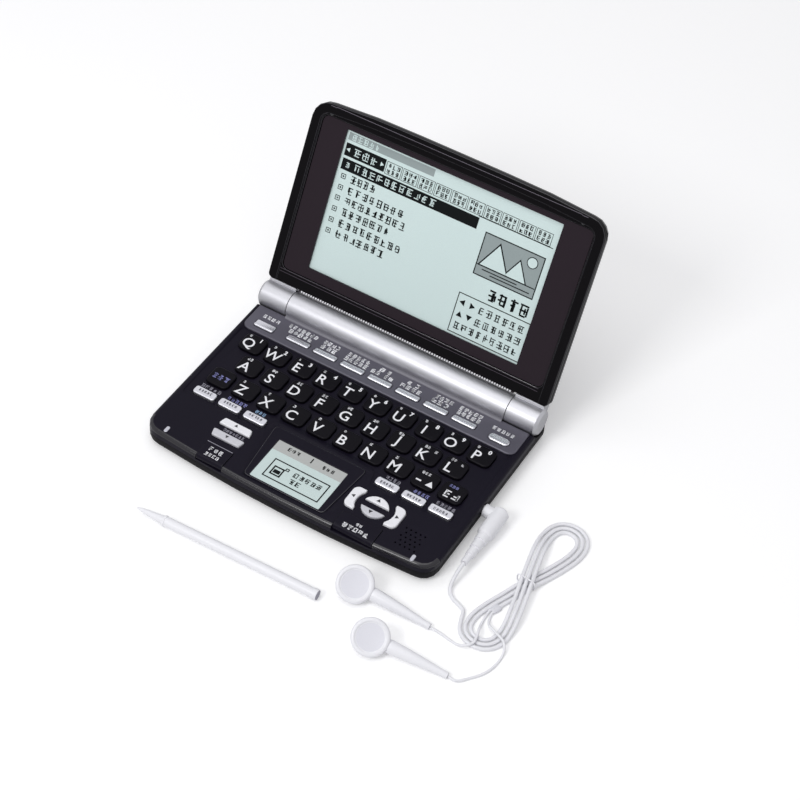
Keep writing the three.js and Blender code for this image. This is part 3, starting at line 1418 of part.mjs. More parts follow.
// Stylus: a pointed tip behind a collar, a plain barrel and a small flange at its flat end
const stylusProfile = [
  [STYLUS_POINT_RADIUS, 0],
  [STYLUS_POINT_RADIUS * 2, STYLUS_TIP_LENGTH / 5],
  [STYLUS_RADIUS - STYLUS_COLLAR, STYLUS_TIP_LENGTH],
  [STYLUS_RADIUS + STYLUS_COLLAR, STYLUS_TIP_LENGTH],
  [STYLUS_RADIUS + STYLUS_COLLAR, STYLUS_TIP_LENGTH + STYLUS_COLLAR_LENGTH],
  [STYLUS_RADIUS, STYLUS_TIP_LENGTH + STYLUS_COLLAR_LENGTH],
  [STYLUS_RADIUS, STYLUS_LENGTH - 2 * STYLUS_COLLAR_LENGTH],
  [STYLUS_RADIUS + STYLUS_COLLAR, STYLUS_LENGTH - 2 * STYLUS_COLLAR_LENGTH],
  [STYLUS_RADIUS + STYLUS_COLLAR, STYLUS_LENGTH],
].map(([radius, x]) => [radius, x - STYLUS_LENGTH / 2]);
const stylus = turned(stylusProfile, 14).rotateY(Math.PI / 2);
stylus.rotateZ(STYLUS_TURN * DEG);
const stylusHeight = FLOOR_Z + STYLUS_RADIUS + STYLUS_COLLAR;
stylus.translate(STYLUS_OFFSET[0], FRONT_Y + STYLUS_OFFSET[1], stylusHeight);
place("stylus", solid(stylus), WHITE);

export default dictionary;
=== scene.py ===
import json
import math
import random

import bpy
from mathutils import Matrix, Vector

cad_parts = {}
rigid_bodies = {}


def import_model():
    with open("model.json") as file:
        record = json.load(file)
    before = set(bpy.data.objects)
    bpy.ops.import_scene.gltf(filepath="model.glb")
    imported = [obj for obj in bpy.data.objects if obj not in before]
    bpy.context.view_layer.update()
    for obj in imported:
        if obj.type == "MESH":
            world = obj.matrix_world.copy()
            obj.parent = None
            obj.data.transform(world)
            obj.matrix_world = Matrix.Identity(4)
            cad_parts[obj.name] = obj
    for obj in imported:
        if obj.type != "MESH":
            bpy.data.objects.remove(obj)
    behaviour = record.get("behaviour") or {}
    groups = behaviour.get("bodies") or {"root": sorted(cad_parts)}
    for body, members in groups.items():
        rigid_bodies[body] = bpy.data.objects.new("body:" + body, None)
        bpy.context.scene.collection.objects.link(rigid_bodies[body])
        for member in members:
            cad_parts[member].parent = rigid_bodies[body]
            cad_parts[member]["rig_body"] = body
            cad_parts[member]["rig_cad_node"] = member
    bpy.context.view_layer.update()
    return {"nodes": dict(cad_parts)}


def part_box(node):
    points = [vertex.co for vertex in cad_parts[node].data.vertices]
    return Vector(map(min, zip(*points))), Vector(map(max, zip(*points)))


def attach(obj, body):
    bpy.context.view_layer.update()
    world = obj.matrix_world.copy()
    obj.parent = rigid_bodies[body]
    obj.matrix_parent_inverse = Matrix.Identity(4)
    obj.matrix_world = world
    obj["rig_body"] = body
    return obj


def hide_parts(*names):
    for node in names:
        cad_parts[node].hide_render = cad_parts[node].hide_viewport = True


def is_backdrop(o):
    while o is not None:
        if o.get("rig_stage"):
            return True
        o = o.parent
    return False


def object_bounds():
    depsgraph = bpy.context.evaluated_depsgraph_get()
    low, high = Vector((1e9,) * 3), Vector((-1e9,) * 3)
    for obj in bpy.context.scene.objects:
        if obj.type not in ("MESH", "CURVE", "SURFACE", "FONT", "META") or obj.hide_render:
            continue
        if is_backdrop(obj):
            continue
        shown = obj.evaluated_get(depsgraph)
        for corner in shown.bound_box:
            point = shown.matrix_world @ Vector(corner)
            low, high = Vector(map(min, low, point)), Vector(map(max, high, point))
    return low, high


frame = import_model()
MM = 0.001

# Table, lamps and camera. The dictionary stands on a pale table under a large soft lamp, with a
# smaller one in front. The camera stands at the right in front and looks down.
CAMERA_PLACE = Vector((303.088, -506.131, 686.071)) * MM
CAMERA_RIGHT = Vector((0.852178, 0.521389, 0.044114))
CAMERA_DOWN = Vector((0.414345, -0.620922, -0.665413))
FOCAL_PIXELS = 2028.9
IMAGE_PIXELS = 800
SENSOR_WIDTH = 36
NEAR_CLIP = 10 * MM
TABLE_SIZE = 8
TABLE_WHITE = 0.95
TABLE_GLOW = 0.2
ROOM_LIGHT = 0.5
ROOM_WHITE = 1


def clear_selection():
    if bpy.context.object and bpy.context.object.mode != "OBJECT":
        bpy.ops.object.mode_set(mode="OBJECT")
    bpy.ops.object.select_all(action="DESELECT")


def math_node(tree, operation, *sources):
    """A math node fed by links or by plain numbers. Gives its output."""
    node = tree.nodes.new("ShaderNodeMath")
    node.operation = operation
    for socket, source in zip(node.inputs, sources):
        if isinstance(source, bpy.types.NodeSocket):
            tree.links.new(source, socket)
        else:
            socket.default_value = source
    return node.outputs[0]


clear_selection()
bpy.ops.object.camera_add()
camera = bpy.context.object
camera.data.sensor_width = SENSOR_WIDTH
camera.data.lens = FOCAL_PIXELS / IMAGE_PIXELS * SENSOR_WIDTH
camera.data.clip_start = NEAR_CLIP
camera.data.clip_end = TABLE_SIZE
camera_axes = (CAMERA_RIGHT, -CAMERA_DOWN, -CAMERA_RIGHT.cross(CAMERA_DOWN))
camera.matrix_world = Matrix.Translation(CAMERA_PLACE) @ Matrix(camera_axes).transposed().to_4x4()
bpy.context.scene.camera = camera

clear_selection()
TABLE_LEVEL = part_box("foot_front_left")[0].z
bpy.ops.mesh.primitive_plane_add(size=TABLE_SIZE, location=(0, 0, TABLE_LEVEL))
table = bpy.context.object
table.name = "table"
table_paint = bpy.data.materials.new("table_paint")
table_paint.use_nodes = True
table_tree = table_paint.node_tree
table_shader = table_tree.nodes["Principled BSDF"]
for socket, value in (
    ("Base Color", (*[TABLE_WHITE] * 3, 1)),
    ("Roughness", 0.9),
    ("Specular IOR Level", 0.2),
    ("Emission Color", (1, 1, 1, 1)),
):
    table_shader.inputs[socket].default_value = value
table_path = table_tree.nodes.new("ShaderNodeLightPath")
table_glow = math_node(table_tree, "MULTIPLY", table_path.outputs["Is Camera Ray"], TABLE_GLOW)
table_tree.links.new(table_glow, table_shader.inputs["Emission Strength"])
table.data.materials.append(table_paint)
table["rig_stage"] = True


def soft_lamp(name, place, aim, size, power):
    clear_selection()
    bpy.ops.object.light_add(type="AREA", location=place)
    lamp = bpy.context.object
    lamp.name = name
    lamp.data.size = size
    lamp.data.energy = power
    lamp.rotation_euler = (Vector(aim) - Vector(place)).to_track_quat("-Z", "Y").to_euler()


soft_lamp("lamp_overhead", (-0.1, -0.05, 1.1), (0, 0, 0), 0.8, 3.0)
soft_lamp("lamp_front", (-0.18, -0.68, 0.735), (0, 0, 0.02), 0.32, 3.0)

studio = bpy.data.worlds.new("studio")
bpy.context.scene.world = studio
studio.use_nodes = True
studio_tree = studio.node_tree
room_light = studio_tree.nodes["Background"]
room_light.inputs["Color"].default_value = (0.97, 0.97, 1, 1)
rays = studio_tree.nodes.new("ShaderNodeLightPath").outputs
seen = math_node(studio_tree, "MAXIMUM", rays["Is Camera Ray"], rays["Is Glossy Ray"])
seen_through = math_node(studio_tree, "MAXIMUM", seen, rays["Is Transmission Ray"])
room_strength = studio_tree.nodes.new("ShaderNodeMapRange")
room_strength.inputs["To Min"].default_value = ROOM_LIGHT
room_strength.inputs["To Max"].default_value = ROOM_WHITE
studio_tree.links.new(seen_through, room_strength.inputs["Value"])
studio_tree.links.new(room_strength.outputs["Result"], room_light.inputs["Strength"])
bpy.context.scene.view_settings.view_transform = "Standard"

# Lower case and battery cover. Both are moulded in black plastic with a fine spark-eroded grain.
# The case carries the screw bosses, and the cover slides out to the back to free the cells.
CLOUD_SCALE = 45
CLOUD_DETAIL = 4
GRAIN_DETAIL = 3
MERGE_REACH = 0.002 * MM
FLAT_ANGLE = math.radians(0.3)
EDGE_STEPS = 2


def srgb(red, green, blue):
    shares = [value / 255 for value in (red, green, blue)]
    linear = [s / 12.92 if s <= 0.04045 else ((s + 0.055) / 1.055) ** 2.4 for s in shares]
    return (*linear, 1)


def node_group(name, inputs, outputs):
    """An empty shader group with its sockets. Gives it with its input and its output node."""
    group = bpy.data.node_groups.new(name, "ShaderNodeTree")
    for way, sockets in (("INPUT", inputs), ("OUTPUT", outputs)):
        for socket, kind in sockets.items():
            group.interface.new_socket(socket, in_out=way, socket_type="NodeSocket" + kind)
    return group, group.nodes.new("NodeGroupInput"), group.nodes.new("NodeGroupOutput")


def shaded(tree, color, share):
    """A colour times a share."""
    shade = tree.nodes.new("ShaderNodeVectorMath")
    shade.operation = "SCALE"
    tree.links.new(color, shade.inputs[0])
    tree.links.new(share, shade.inputs["Scale"])
    return shade.outputs[0]


def build_moulded_skin():
    """Fine grain and a faint unevenness of colour and gloss, as on a moulded or painted surface."""
    inputs = {"Color": "Color", "Roughness": "Float", "Grain scale": "Float", "Mottle": "Float"}
    outputs = {"Color": "Color", "Roughness": "Float", "Height": "Float"}
    group, given, result = node_group("moulded_skin", inputs, outputs)
    place = group.nodes.new("ShaderNodeTexCoord")
    grain = group.nodes.new("ShaderNodeTexNoise")
    grain.inputs["Detail"].default_value = GRAIN_DETAIL
    clouds = group.nodes.new("ShaderNodeTexNoise")
    clouds.inputs["Scale"].default_value = CLOUD_SCALE
    clouds.inputs["Detail"].default_value = CLOUD_DETAIL
    for noise in (grain, clouds):
        group.links.new(place.outputs["Object"], noise.inputs["Vector"])
    group.links.new(given.outputs["Grain scale"], grain.inputs["Scale"])
    both = math_node(group, "ADD", grain.outputs["Fac"], clouds.outputs["Fac"])
    centred = math_node(group, "SUBTRACT", both, 1)
    swing = math_node(group, "MULTIPLY_ADD", centred, given.outputs["Mottle"], 1)
    gloss = math_node(group, "MULTIPLY", given.outputs["Roughness"], swing)
    group.links.new(shaded(group, given.outputs["Color"], swing), result.inputs["Color"])
    group.links.new(gloss, result.inputs["Roughness"])
    group.links.new(grain.outputs["Fac"], result.inputs["Height"])
    return group


moulded_skin = build_moulded_skin()


def surface(name, color, roughness, grain_scale, grain_depth, mottle, **constant):
    """A material whose skin has its own grain. Constant values go straight to the shader's sockets."""
    material = bpy.data.materials.new(name)
    material.use_nodes = True
    nodes, links = material.node_tree.nodes, material.node_tree.links
    shader = nodes["Principled BSDF"]
    skin = nodes.new("ShaderNodeGroup")
    skin.node_tree = moulded_skin
    skin.inputs["Color"].default_value = srgb(*color)
    skin.inputs["Roughness"].default_value = roughness
    skin.inputs["Grain scale"].default_value = grain_scale
    skin.inputs["Mottle"].default_value = mottle
    bump = nodes.new("ShaderNodeBump")
    bump.inputs["Distance"].default_value = grain_depth
    links.new(skin.outputs["Color"], shader.inputs["Base Color"])
    links.new(skin.outputs["Roughness"], shader.inputs["Roughness"])
    links.new(skin.outputs["Height"], bump.inputs["Height"])
    links.new(bump.outputs["Normal"], shader.inputs["Normal"])
    for socket, value in constant.items():
        shader.inputs[socket.replace("_", " ")].default_value = value
    return material


black_grain = surface("black_grain", (13, 11, 15), 0.5, 3200, 0.012 * MM, 0.25, Specular_IOR_Level=0.08)


def pick(piece):
    """Makes one object the active one and the only one selected."""
    clear_selection()
    piece.select_set(True)
    bpy.context.view_layer.objects.active = piece


def edit_all():
    bpy.ops.object.mode_set(mode="EDIT")
    bpy.ops.mesh.select_all(action="SELECT")


def named(name):
    """The object that was just made, with its mesh, under a name of its own."""
    piece = bpy.context.object
    piece.name = name
    piece.data.name = name
    return piece


def repaint(piece, material):
    piece.data.materials.clear()
    piece.data.materials.append(material)


def modified(piece, kind, **settings):
    """Adds a modifier to the active object, sets it and applies it."""
    bpy.ops.object.modifier_add(type=kind)
    change = piece.modifiers[-1]
    for setting, value in settings.items():
        setattr(change, setting, value)
    bpy.ops.object.modifier_apply(modifier=change.name)


def moulding(node, name, material, edge=0.0, corner=30, sheen=None):
    """The solid of a moulding as a piece of its own: merged, its edges broken, its rounds smooth."""
    pick(frame["nodes"][node])
    bpy.ops.object.duplicate()
    piece = named(name)
    piece.parent = None
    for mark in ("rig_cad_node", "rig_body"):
        del piece[mark]
    repaint(piece, material)
    edit_all()
    bpy.ops.mesh.remove_doubles(threshold=MERGE_REACH)
    if edge:
        bpy.ops.mesh.dissolve_limited(angle_limit=FLAT_ANGLE)
    bpy.ops.object.mode_set(mode="OBJECT")
    if edge:
        rounding = {"limit_method": "ANGLE", "angle_limit": math.radians(corner)}
        if sheen:
            piece.data.materials.append(sheen)
            rounding["material"] = 1
        modified(piece, "BEVEL", width=edge, segments=EDGE_STEPS, **rounding)
    even_shading(piece, corner)
    return piece


def even_shading(piece, corner):
    """Smooth rounds with flats that stay flat: each face weighs in by its size."""
    bpy.ops.object.shade_smooth_by_angle(angle=math.radians(corner))
    modified(piece, "WEIGHTED_NORMAL", keep_sharp=True)


def fit(piece, body, slot, *nodes):
    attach(piece, body)
    if nodes:
        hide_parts(*nodes)


fit(moulding("lower_case", "lower_case_shell", black_grain), "base", "black_shell", "lower_case")
cover = moulding("battery_cover", "battery_cover_shell", black_grain, edge=0.15 * MM)
fit(cover, "battery_cover", "black_shell", "battery_cover")

# Feet: four soft rubber discs, each moulded in one piece and pressed into a round recess under the
# lower case. They hold the dictionary off the table.
rubber = surface("rubber", (52, 52, 55), 0.85, 2500, 0.02 * MM, 0.2)
for row in ("front", "rear"):
    for side in ("left", "right"):
        node = f"foot_{row}_{side}"
        fit(moulding(node, node + "_pad", rubber, edge=0.12 * MM), "base", "dark_rubber", node)

# Inside the base: circuit board, key mat with its domes, speaker, earphone jack, hinge pins and two
# round cells. They are hidden by the cases, so each keeps its own solid and gets its real finish.
board_green = surface("board_green", (38, 92, 58), 0.5, 1500, 0.01 * MM, 0.4, Coat_Weight=0.3)
steel = surface("steel", (168, 170, 175), 0.32, 2000, 0.004 * MM, 0.2, Metallic=1.0)
cell_wrap = surface("cell_wrap", (150, 152, 158), 0.35, 900, 0.004 * MM, 0.2, Metallic=0.9)
for node, material in (
    ("main_board", board_green),
    ("keypad_mat", rubber),
    ("earphone_jack", rubber),
    ("speaker", steel),
    ("hinge_pin_left", steel),
    ("hinge_pin_right", steel),
    ("battery_left", cell_wrap),
    ("battery_right", cell_wrap),
):
    repaint(frame["nodes"][node], material)

# Upper case: the deck, moulded in black plastic and painted a satin blue-black. The keyboard pan is
# sunk into it, its front lip is rounded and polished, and small holes let the speaker out.
LIP_REAR = -42 * MM
LIP_LOW = 6 * MM
LIP_UPRIGHT_SHARE = 0.1
LIP_LEVEL_SHARE = 0.985
deck_paint = surface("deck_paint", (19, 16, 28), 0.4, 2600, 0.006 * MM, 0.2, Specular_IOR_Level=0.09)
lip_polish = surface("lip_polish", (17, 14, 22), 0.2, 1800, 0.002 * MM, 0.1, Specular_IOR_Level=0.5)


def paint_faces(piece, material, chosen):
    """Gives the faces that chosen picks by their middle and normal a finish of their own."""
    piece.data.materials.append(material)
    for face in piece.data.polygons:
        if chosen(face.center, face.normal):
            face.material_index = len(piece.data.materials) - 1


deck = moulding("upper_case", "upper_case_shell", deck_paint)


def on_lip(middle, normal):
    rounded = LIP_UPRIGHT_SHARE < normal.z < LIP_LEVEL_SHARE
    return rounded and middle.y < LIP_REAR and middle.z > LIP_LOW


paint_faces(deck, lip_polish, on_lip)
fit(deck, "base", "black_shell", "upper_case")

# Lamp windows: two small lenses of clear plastic with rounded edges. They are let into the deck near
# its front corners and stand slightly above it.
DECK_LEVEL = 10 * MM
CORNER_STEPS = 5
ROUND_STEPS = 3
LENS_PLACES = ((-63.0, -46.6), (63.9, -47.6))
LENS_SIZE = Vector((1.7, 3.5)) * MM
LENS_CORNER = LENS_SIZE.x * 0.45
LENS_FOOT = DECK_LEVEL - 0.1 * MM
LENS_RISE = 0.35 * MM
LENS_EDGE = 0.2 * MM
lens_clear = surface("lens_clear", (196, 196, 206), 0.2, 1200, 0.001 * MM, 0.05, Coat_Weight=0.5)


def flat_square(name):
    """A flat square of size one, left in edit mode."""
    clear_selection()
    bpy.ops.mesh.primitive_plane_add(size=1, location=(0, 0, 0))
    square = named(name)
    edit_all()
    return square


def outline_plate(name, centre, size, corner, height):
    """A flat plate with round corners, left in edit mode with its one face selected."""
    plate = flat_square(name)
    bpy.ops.transform.resize(value=(size[0], size[1], 1), center_override=(0, 0, 0))
    bpy.ops.mesh.bevel(offset_type="OFFSET", offset=corner, segments=CORNER_STEPS, affect="VERTICES")
    bpy.ops.mesh.select_all(action="SELECT")
    bpy.ops.transform.translate(value=(centre[0], centre[1], height))
    return plate


def round_top_up(rise, edge, crown=0.0):
    """Raises the selected face by rise, with its upper edge rounded by edge, and a slight crown."""
    bpy.ops.mesh.extrude_region_move(TRANSFORM_OT_translate={"value": (0, 0, rise - edge)})
    for step in range(ROUND_STEPS):
        low, high = (math.pi / 2 * s / ROUND_STEPS for s in (step, step + 1))
        inward = edge * (math.cos(low) - math.cos(high))
        upward = edge * (math.sin(high) - math.sin(low))
        bpy.ops.mesh.inset(thickness=inward, depth=upward)
    bpy.ops.mesh.inset(thickness=edge / 3, depth=crown)


def close_up(piece, material, corner=30):
    bpy.ops.mesh.select_all(action="SELECT")
    bpy.ops.mesh.normals_make_consistent(inside=False)
    bpy.ops.object.mode_set(mode="OBJECT")
    piece.data.materials.append(material)
    even_shading(piece, corner)


def raised_plate(name, centre, size, corner, foot, rise, edge, material):
    """A small round-edged plate that stands on its foot."""
    plate = outline_plate(name, centre, size, corner, foot)
    round_top_up(rise, edge)
    close_up(plate, material)
    return plate


for number, (x, y) in enumerate(LENS_PLACES, 1):
    lens = (f"lamp_window_{number}", (x * MM, y * MM), LENS_SIZE, LENS_CORNER, LENS_FOOT)
    fit(raised_plate(*lens, LENS_RISE, LENS_EDGE, lens_clear), "base", "white_plastic")

# Function strip: a plate let into the deck behind the letters, painted a dark metallic grey, with two
# rows of small white marks behind each key. Behind it a thin skirt leads up to the barrel, its silver
# painted a darker grey as painted shade under the barrel.
INK = 0.05 * MM
STRIP_TOP = 10.6 * MM
UPPER_LEFTS = (-53.2, -34.4, -21.2, -4.2, -0.2, 10.5, 14.5, 25.3, 37.8)
UPPER_RIGHTS = (-37.2, -25.2, -9.2, -1.2, 2.3, 13.3, 17.5, 34.8, 49.8)
LOWER_LEFTS = (-51.7, -34.2, -21.5, -7.2, -0.2, 8.3, 24.8, 37.8)
LOWER_RIGHTS = (-38.7, -25.5, -8.9, -2.2, 4.8, 19.8, 33.8, 50.3)
FUNCTION_MARKS = (
    ("upper", 34.5, 36.8, UPPER_LEFTS, UPPER_RIGHTS),
    ("lower", 31.5, 34.1, LOWER_LEFTS, LOWER_RIGHTS),
)
CHANCE_SEED = 7
SIGN_REACH = 0.8
LINE_CHANCE = 0.88
LINE_START = 0.12
LINE_STEP = 0.38
LINE_SWAY = 0.05
LINE_SHIFT = 0.06
LINE_SHARES = (0.5, 1)
STROKE_SWAY = 0.12
STROKE_SHIFT = 0.42
STROKE_SHARES = (0.45, 0.85)
END_MARKS = ((-66.7, -57.2, 33, 35.2), (55.8, 67.3, 32.6, 34.8))
SKIRT_HALF_LENGTH = 57.5 * MM
SKIRT_FRONT = 37.9 * MM
SKIRT_REAR = 39.35 * MM
SKIRT_FOOT = 0.1 * MM
SKIRT_RISE = 1.5 * MM
SKIRT_ROWS = 5
SKIRT_CURVE = 2.6
draw = random.Random(CHANCE_SEED)
strip_paint = surface("strip_paint", (84, 82, 93), 0.42, 5200, 0.01 * MM, 0.3, Metallic=0.35)


def print_ink(name, *color):
    return surface(name, color, 0.55, 1600, 0.002 * MM, 0.08)


ink_white = print_ink("ink_white", 238, 238, 242)
strip = moulding("function_strip", "function_strip_plate", strip_paint, edge=0.1 * MM)
fit(strip, "base", "grey_strip", "function_strip")


def blank_sheet(name):
    """An empty mesh, left in edit mode for what is printed with it."""
    sheet = flat_square(name)
    bpy.ops.mesh.delete(type="VERT")
    return sheet


def printed(name, bars, level, material):
    """Printed strokes as one piece. Each bar is its middle's x and y, its width and depth, in mm."""
    sheet = blank_sheet(name)
    for x, y, width, depth in bars:
        size = (width * MM, depth * MM, INK)
        bpy.ops.mesh.primitive_cube_add(size=1, location=(x * MM, y * MM, level), scale=size)
    bpy.ops.object.mode_set(mode="OBJECT")
    sheet.data.materials.append(material)
    return sheet


def sway(reach):
    return draw.uniform(-reach, reach)


def tiny_marks(left, right, near, far, pen=0.28, cell_share=1.0):
    """Bars that read from afar as a row of small signs: short crossing strokes, drawn by chance."""
    depth = far - near
    count = max(1, round((right - left) / (depth * cell_share)))
    pitch = (right - left) / count
    reach = pitch * SIGN_REACH
    bars = []
    for index in range(count):
        middle = left + (index + 0.5) * pitch
        for line in range(3):
            if draw.random() < LINE_CHANCE:
                y = near + depth * (LINE_START + LINE_STEP * line + sway(LINE_SWAY))
                x = middle + sway(LINE_SHIFT) * pitch
                bars.append((x, y, reach * draw.uniform(*LINE_SHARES), pen))
        for _ in range(3):
            x = middle + sway(STROKE_SHIFT) * reach
            y = (near + far) / 2 + sway(STROKE_SWAY) * depth
            bars.append((x, y, pen, depth * draw.uniform(*STROKE_SHARES)))
    return bars


strip_level = STRIP_TOP + INK / 4
for row, near, far, lefts, rights in FUNCTION_MARKS:
    bars = []
    for left, right in zip(lefts, rights):
        bars += tiny_marks(left, right, near, far, pen=0.46)
    fit(printed(f"strip_marks_{row}", bars, strip_level, ink_white), "base", "white_plastic")
end_bars = [bar for area in END_MARKS for bar in tiny_marks(*area, pen=0.34)]
fit(printed("strip_marks_ends", end_bars, strip_level, ink_white), "base", "white_plastic")

clear_selection()
bpy.ops.mesh.primitive_grid_add(x_subdivisions=1, y_subdivisions=SKIRT_ROWS, size=1, location=(0, 0, 0))
skirt = named("barrel_skirt")
edit_all()
skirt_size = (2 * SKIRT_HALF_LENGTH, SKIRT_REAR - SKIRT_FRONT, 1)
bpy.ops.transform.resize(value=skirt_size, center_override=(0, 0, 0))
bpy.ops.transform.translate(value=(0, (SKIRT_REAR + SKIRT_FRONT) / 2, STRIP_TOP - INK / 2))
bpy.ops.mesh.extrude_region_move(TRANSFORM_OT_translate={"value": (0, 0, SKIRT_FOOT)})
bpy.ops.object.mode_set(mode="OBJECT")
for point in skirt.data.vertices:
    if point.select:
        share = max(point.co.y - SKIRT_FRONT, 0) / (SKIRT_REAR - SKIRT_FRONT)
        point.co.z += SKIRT_RISE * share**SKIRT_CURVE
# Painted shade: the skirt is painted darker than the silver barrel, for the shade under the barrel.
skirt_painted_shade = surface("skirt_painted_shade", (112, 111, 118), 0.5, 4200, 0.006 * MM, 0.06, Metallic=0.4)
bpy.ops.object.mode_set(mode="EDIT")
close_up(skirt, skirt_painted_shade, corner=50)
fit(skirt, "base", "silver_paint")

# Letter keys: glossy black caps with soft edges, three rows on carrier strips under the deck. One cap
# is drawn up from its outline in small steps, the rest of its row are copies, and the signs are
# printed on them.
LETTER_GAPS = Vector((2.1, 2.2)) * MM
LETTER_CORNER = 2.4 * MM
LETTER_EDGE = 0.55 * MM
LETTER_ROWS = {"top": "QWERTYUIOP", "middle": "ASDFGHJKL", "bottom": " ZXCVBNM  "}
LETTER_SIZE = 7.6 * MM
LETTER_WEIGHT = 0.07 * MM
LETTER_SHIFT = Vector((-1.85, -1.2)) * MM
NUMERAL_SIZE = 3.0 * MM
NUMERAL_WEIGHT = 0.12 * MM
NUMERAL_SHIFT = Vector((2.5, 3.1)) * MM
LETTER_CROWN = -0.03 * MM
key_black = surface("key_black", (13, 11, 17), 0.3, 3000, 0.003 * MM, 0.15, Specular_IOR_Level=0.08)


def put(piece, matrix):
    """Moves a piece by a matrix and leaves it unturned at the origin."""
    pick(piece)
    piece.matrix_world = matrix
    bpy.ops.object.transform_apply(location=True, rotation=True, scale=True)
    return piece


def printed_sign(character, middle, size, weight, level):
    """One printed capital or numeral, as a thin closed mesh about its middle."""
    clear_selection()
    bpy.ops.object.text_add()
    text = bpy.context.object
    text.data.body = character
    text.data.size = size
    text.data.offset = weight
    text.data.extrude = INK / 2
    text.data.resolution_u = 4
    bpy.ops.object.convert(target="MESH")
    sign = bpy.context.object
    across = [point.co.x for point in sign.data.vertices]
    upward = [point.co.y for point in sign.data.vertices]
    shift_x = middle[0] - (min(across) + max(across)) / 2
    shift_y = middle[1] - (min(upward) + max(upward)) / 2
    return put(sign, Matrix.Translation((shift_x, shift_y, level)))


def one_piece(name, members, material):
    clear_selection()
    for member in members:
        member.select_set(True)
    bpy.context.view_layer.objects.active = members[0]
    bpy.ops.object.join()
    joined = named(name)
    repaint(joined, material)
    edit_all()
    bpy.ops.mesh.remove_doubles(threshold=MERGE_REACH / 2)
    bpy.ops.mesh.normals_make_consistent(inside=False)
    bpy.ops.object.mode_set(mode="OBJECT")
    return joined


letter_middles = {}
for row, letters in LETTER_ROWS.items():
    node = "letter_row_" + row
    low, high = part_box(node)
    count = len(letters)
    cap_depth = high.y - low.y
    cap_width = (high.x - low.x + LETTER_GAPS.x) / count - LETTER_GAPS.x
    first = Vector((low.x + cap_width / 2, (low.y + high.y) / 2))
    pitch = cap_width + LETTER_GAPS.x
    caps = outline_plate("letter_caps_" + row, first, (cap_width, cap_depth), LETTER_CORNER, low.z)
    round_top_up(high.z - low.z, LETTER_EDGE, crown=LETTER_CROWN)
    bpy.ops.mesh.select_all(action="SELECT")
    for _ in range(count - 1):
        bpy.ops.mesh.duplicate_move(TRANSFORM_OT_translate={"value": (pitch, 0, 0)})
    close_up(caps, key_black)
    fit(caps, node, "black_shell", node)
    middles = [first + Vector((pitch * index, 0)) for index in range(count)]
    letter_middles[row] = middles
    signs = [
        printed_sign(letter, middle + LETTER_SHIFT, LETTER_SIZE, LETTER_WEIGHT, high.z - INK / 4)
        for letter, middle in zip(letters, middles)
        if letter != " "
    ]
    if row == "top":
        signs += [
            printed_sign(numeral, middle + NUMERAL_SHIFT, NUMERAL_SIZE, NUMERAL_WEIGHT, high.z - INK / 4)
            for numeral, middle in zip("1234567890", middles)
        ]
    fit(one_piece("letter_signs_" + row, signs, ink_white), node, "white_plastic")

# Small marks on the letter keys: printed like the letters, in white and in lilac. Their areas are
# given in mm from the middle of the key.
KEY_TOP = 11 * MM
SMALL_MARKS = {
    "top": (-4.1, -2.7, 2.9, 4.2, 0.36),
    "middle": (-3.4, -0.6, 2.8, 4.4, 0.36),
    "bottom": (-4, -2.5, 3, 4.4, 0.36),
}
CORNER_MARKS = {"K": (2, 3.6, 2, 3.6, 0.3), "L": (2, 3.6, 2, 3.6, 0.3)}
SHIFT_KEY_MARKS = (-4.6, 4.4, -1.9, 1.3, 0.45)
DASH_KEY_MARKS = (-3.6, 1, 2.2, 3.8, 0.26)
DASH = (-2.6, -1.9, 2.6, 0.8)
DASH_ARROW = (3, -2, 2.1, 0)
BLOCK_KEY_MARKS = (-3.6, 4.4, -3.7, 0.3, 0.62)
BLOCK_KEY_LILACS = (-3.2, 1.3, 2.2, 3.8, 0.26)
ink_lilac = print_ink("ink_lilac", 132, 134, 190)
mark_level = KEY_TOP - INK / 4


def marks_about(middle, left, right, near, far, pen):
    x, y = middle / MM
    return tiny_marks(x + left, x + right, y + near, y + far, pen)


for row, area in SMALL_MARKS.items():
    bars = []
    for letter, middle in zip(LETTER_ROWS[row], letter_middles[row]):
        if letter != " ":
            bars += marks_about(middle, *area)
        if letter in CORNER_MARKS:
            bars += marks_about(middle, *CORNER_MARKS[letter])
    fit(printed("small_marks_" + row, bars, mark_level, ink_white), "letter_row_" + row, "white_plastic")
shift_key, *_, dash_key, block_key = letter_middles["bottom"]
shift_bars = marks_about(shift_key, *SHIFT_KEY_MARKS) + marks_about(block_key, *BLOCK_KEY_LILACS)
fit(printed("shift_key_marks", shift_bars, mark_level, ink_lilac), "letter_row_bottom", "white_plastic")
dash_x, dash_y = dash_key / MM
block_bars = marks_about(block_key, *BLOCK_KEY_MARKS) + marks_about(dash_key, *DASH_KEY_MARKS)
block_bars.append((dash_x + DASH[0], dash_y + DASH[1], *DASH[2:]))
fit(printed("block_marks", block_bars, mark_level, ink_white), "letter_row_bottom", "white_plastic")


def printed_arrows(name, arrows, level, material):
    """Printed triangles as one piece. Each arrow is its x, y and radius in mm, and its turn."""
    sheet = blank_sheet(name)
    for x, y, radius, turn in arrows:
        bpy.ops.mesh.primitive_cylinder_add(
            vertices=3,
            radius=radius * MM,
            depth=INK,
            location=(x * MM, y * MM, level),
            rotation=(0, 0, math.radians(turn)),
        )
    bpy.ops.object.mode_set(mode="OBJECT")
    sheet.data.materials.append(material)
    return sheet


arrow_place = (dash_x + DASH_ARROW[0], dash_y + DASH_ARROW[1], *DASH_ARROW[2:])
arrow = printed_arrows("key_arrow", [arrow_place], mark_level, ink_white)
fit(arrow, "letter_row_bottom", "white_plastic")

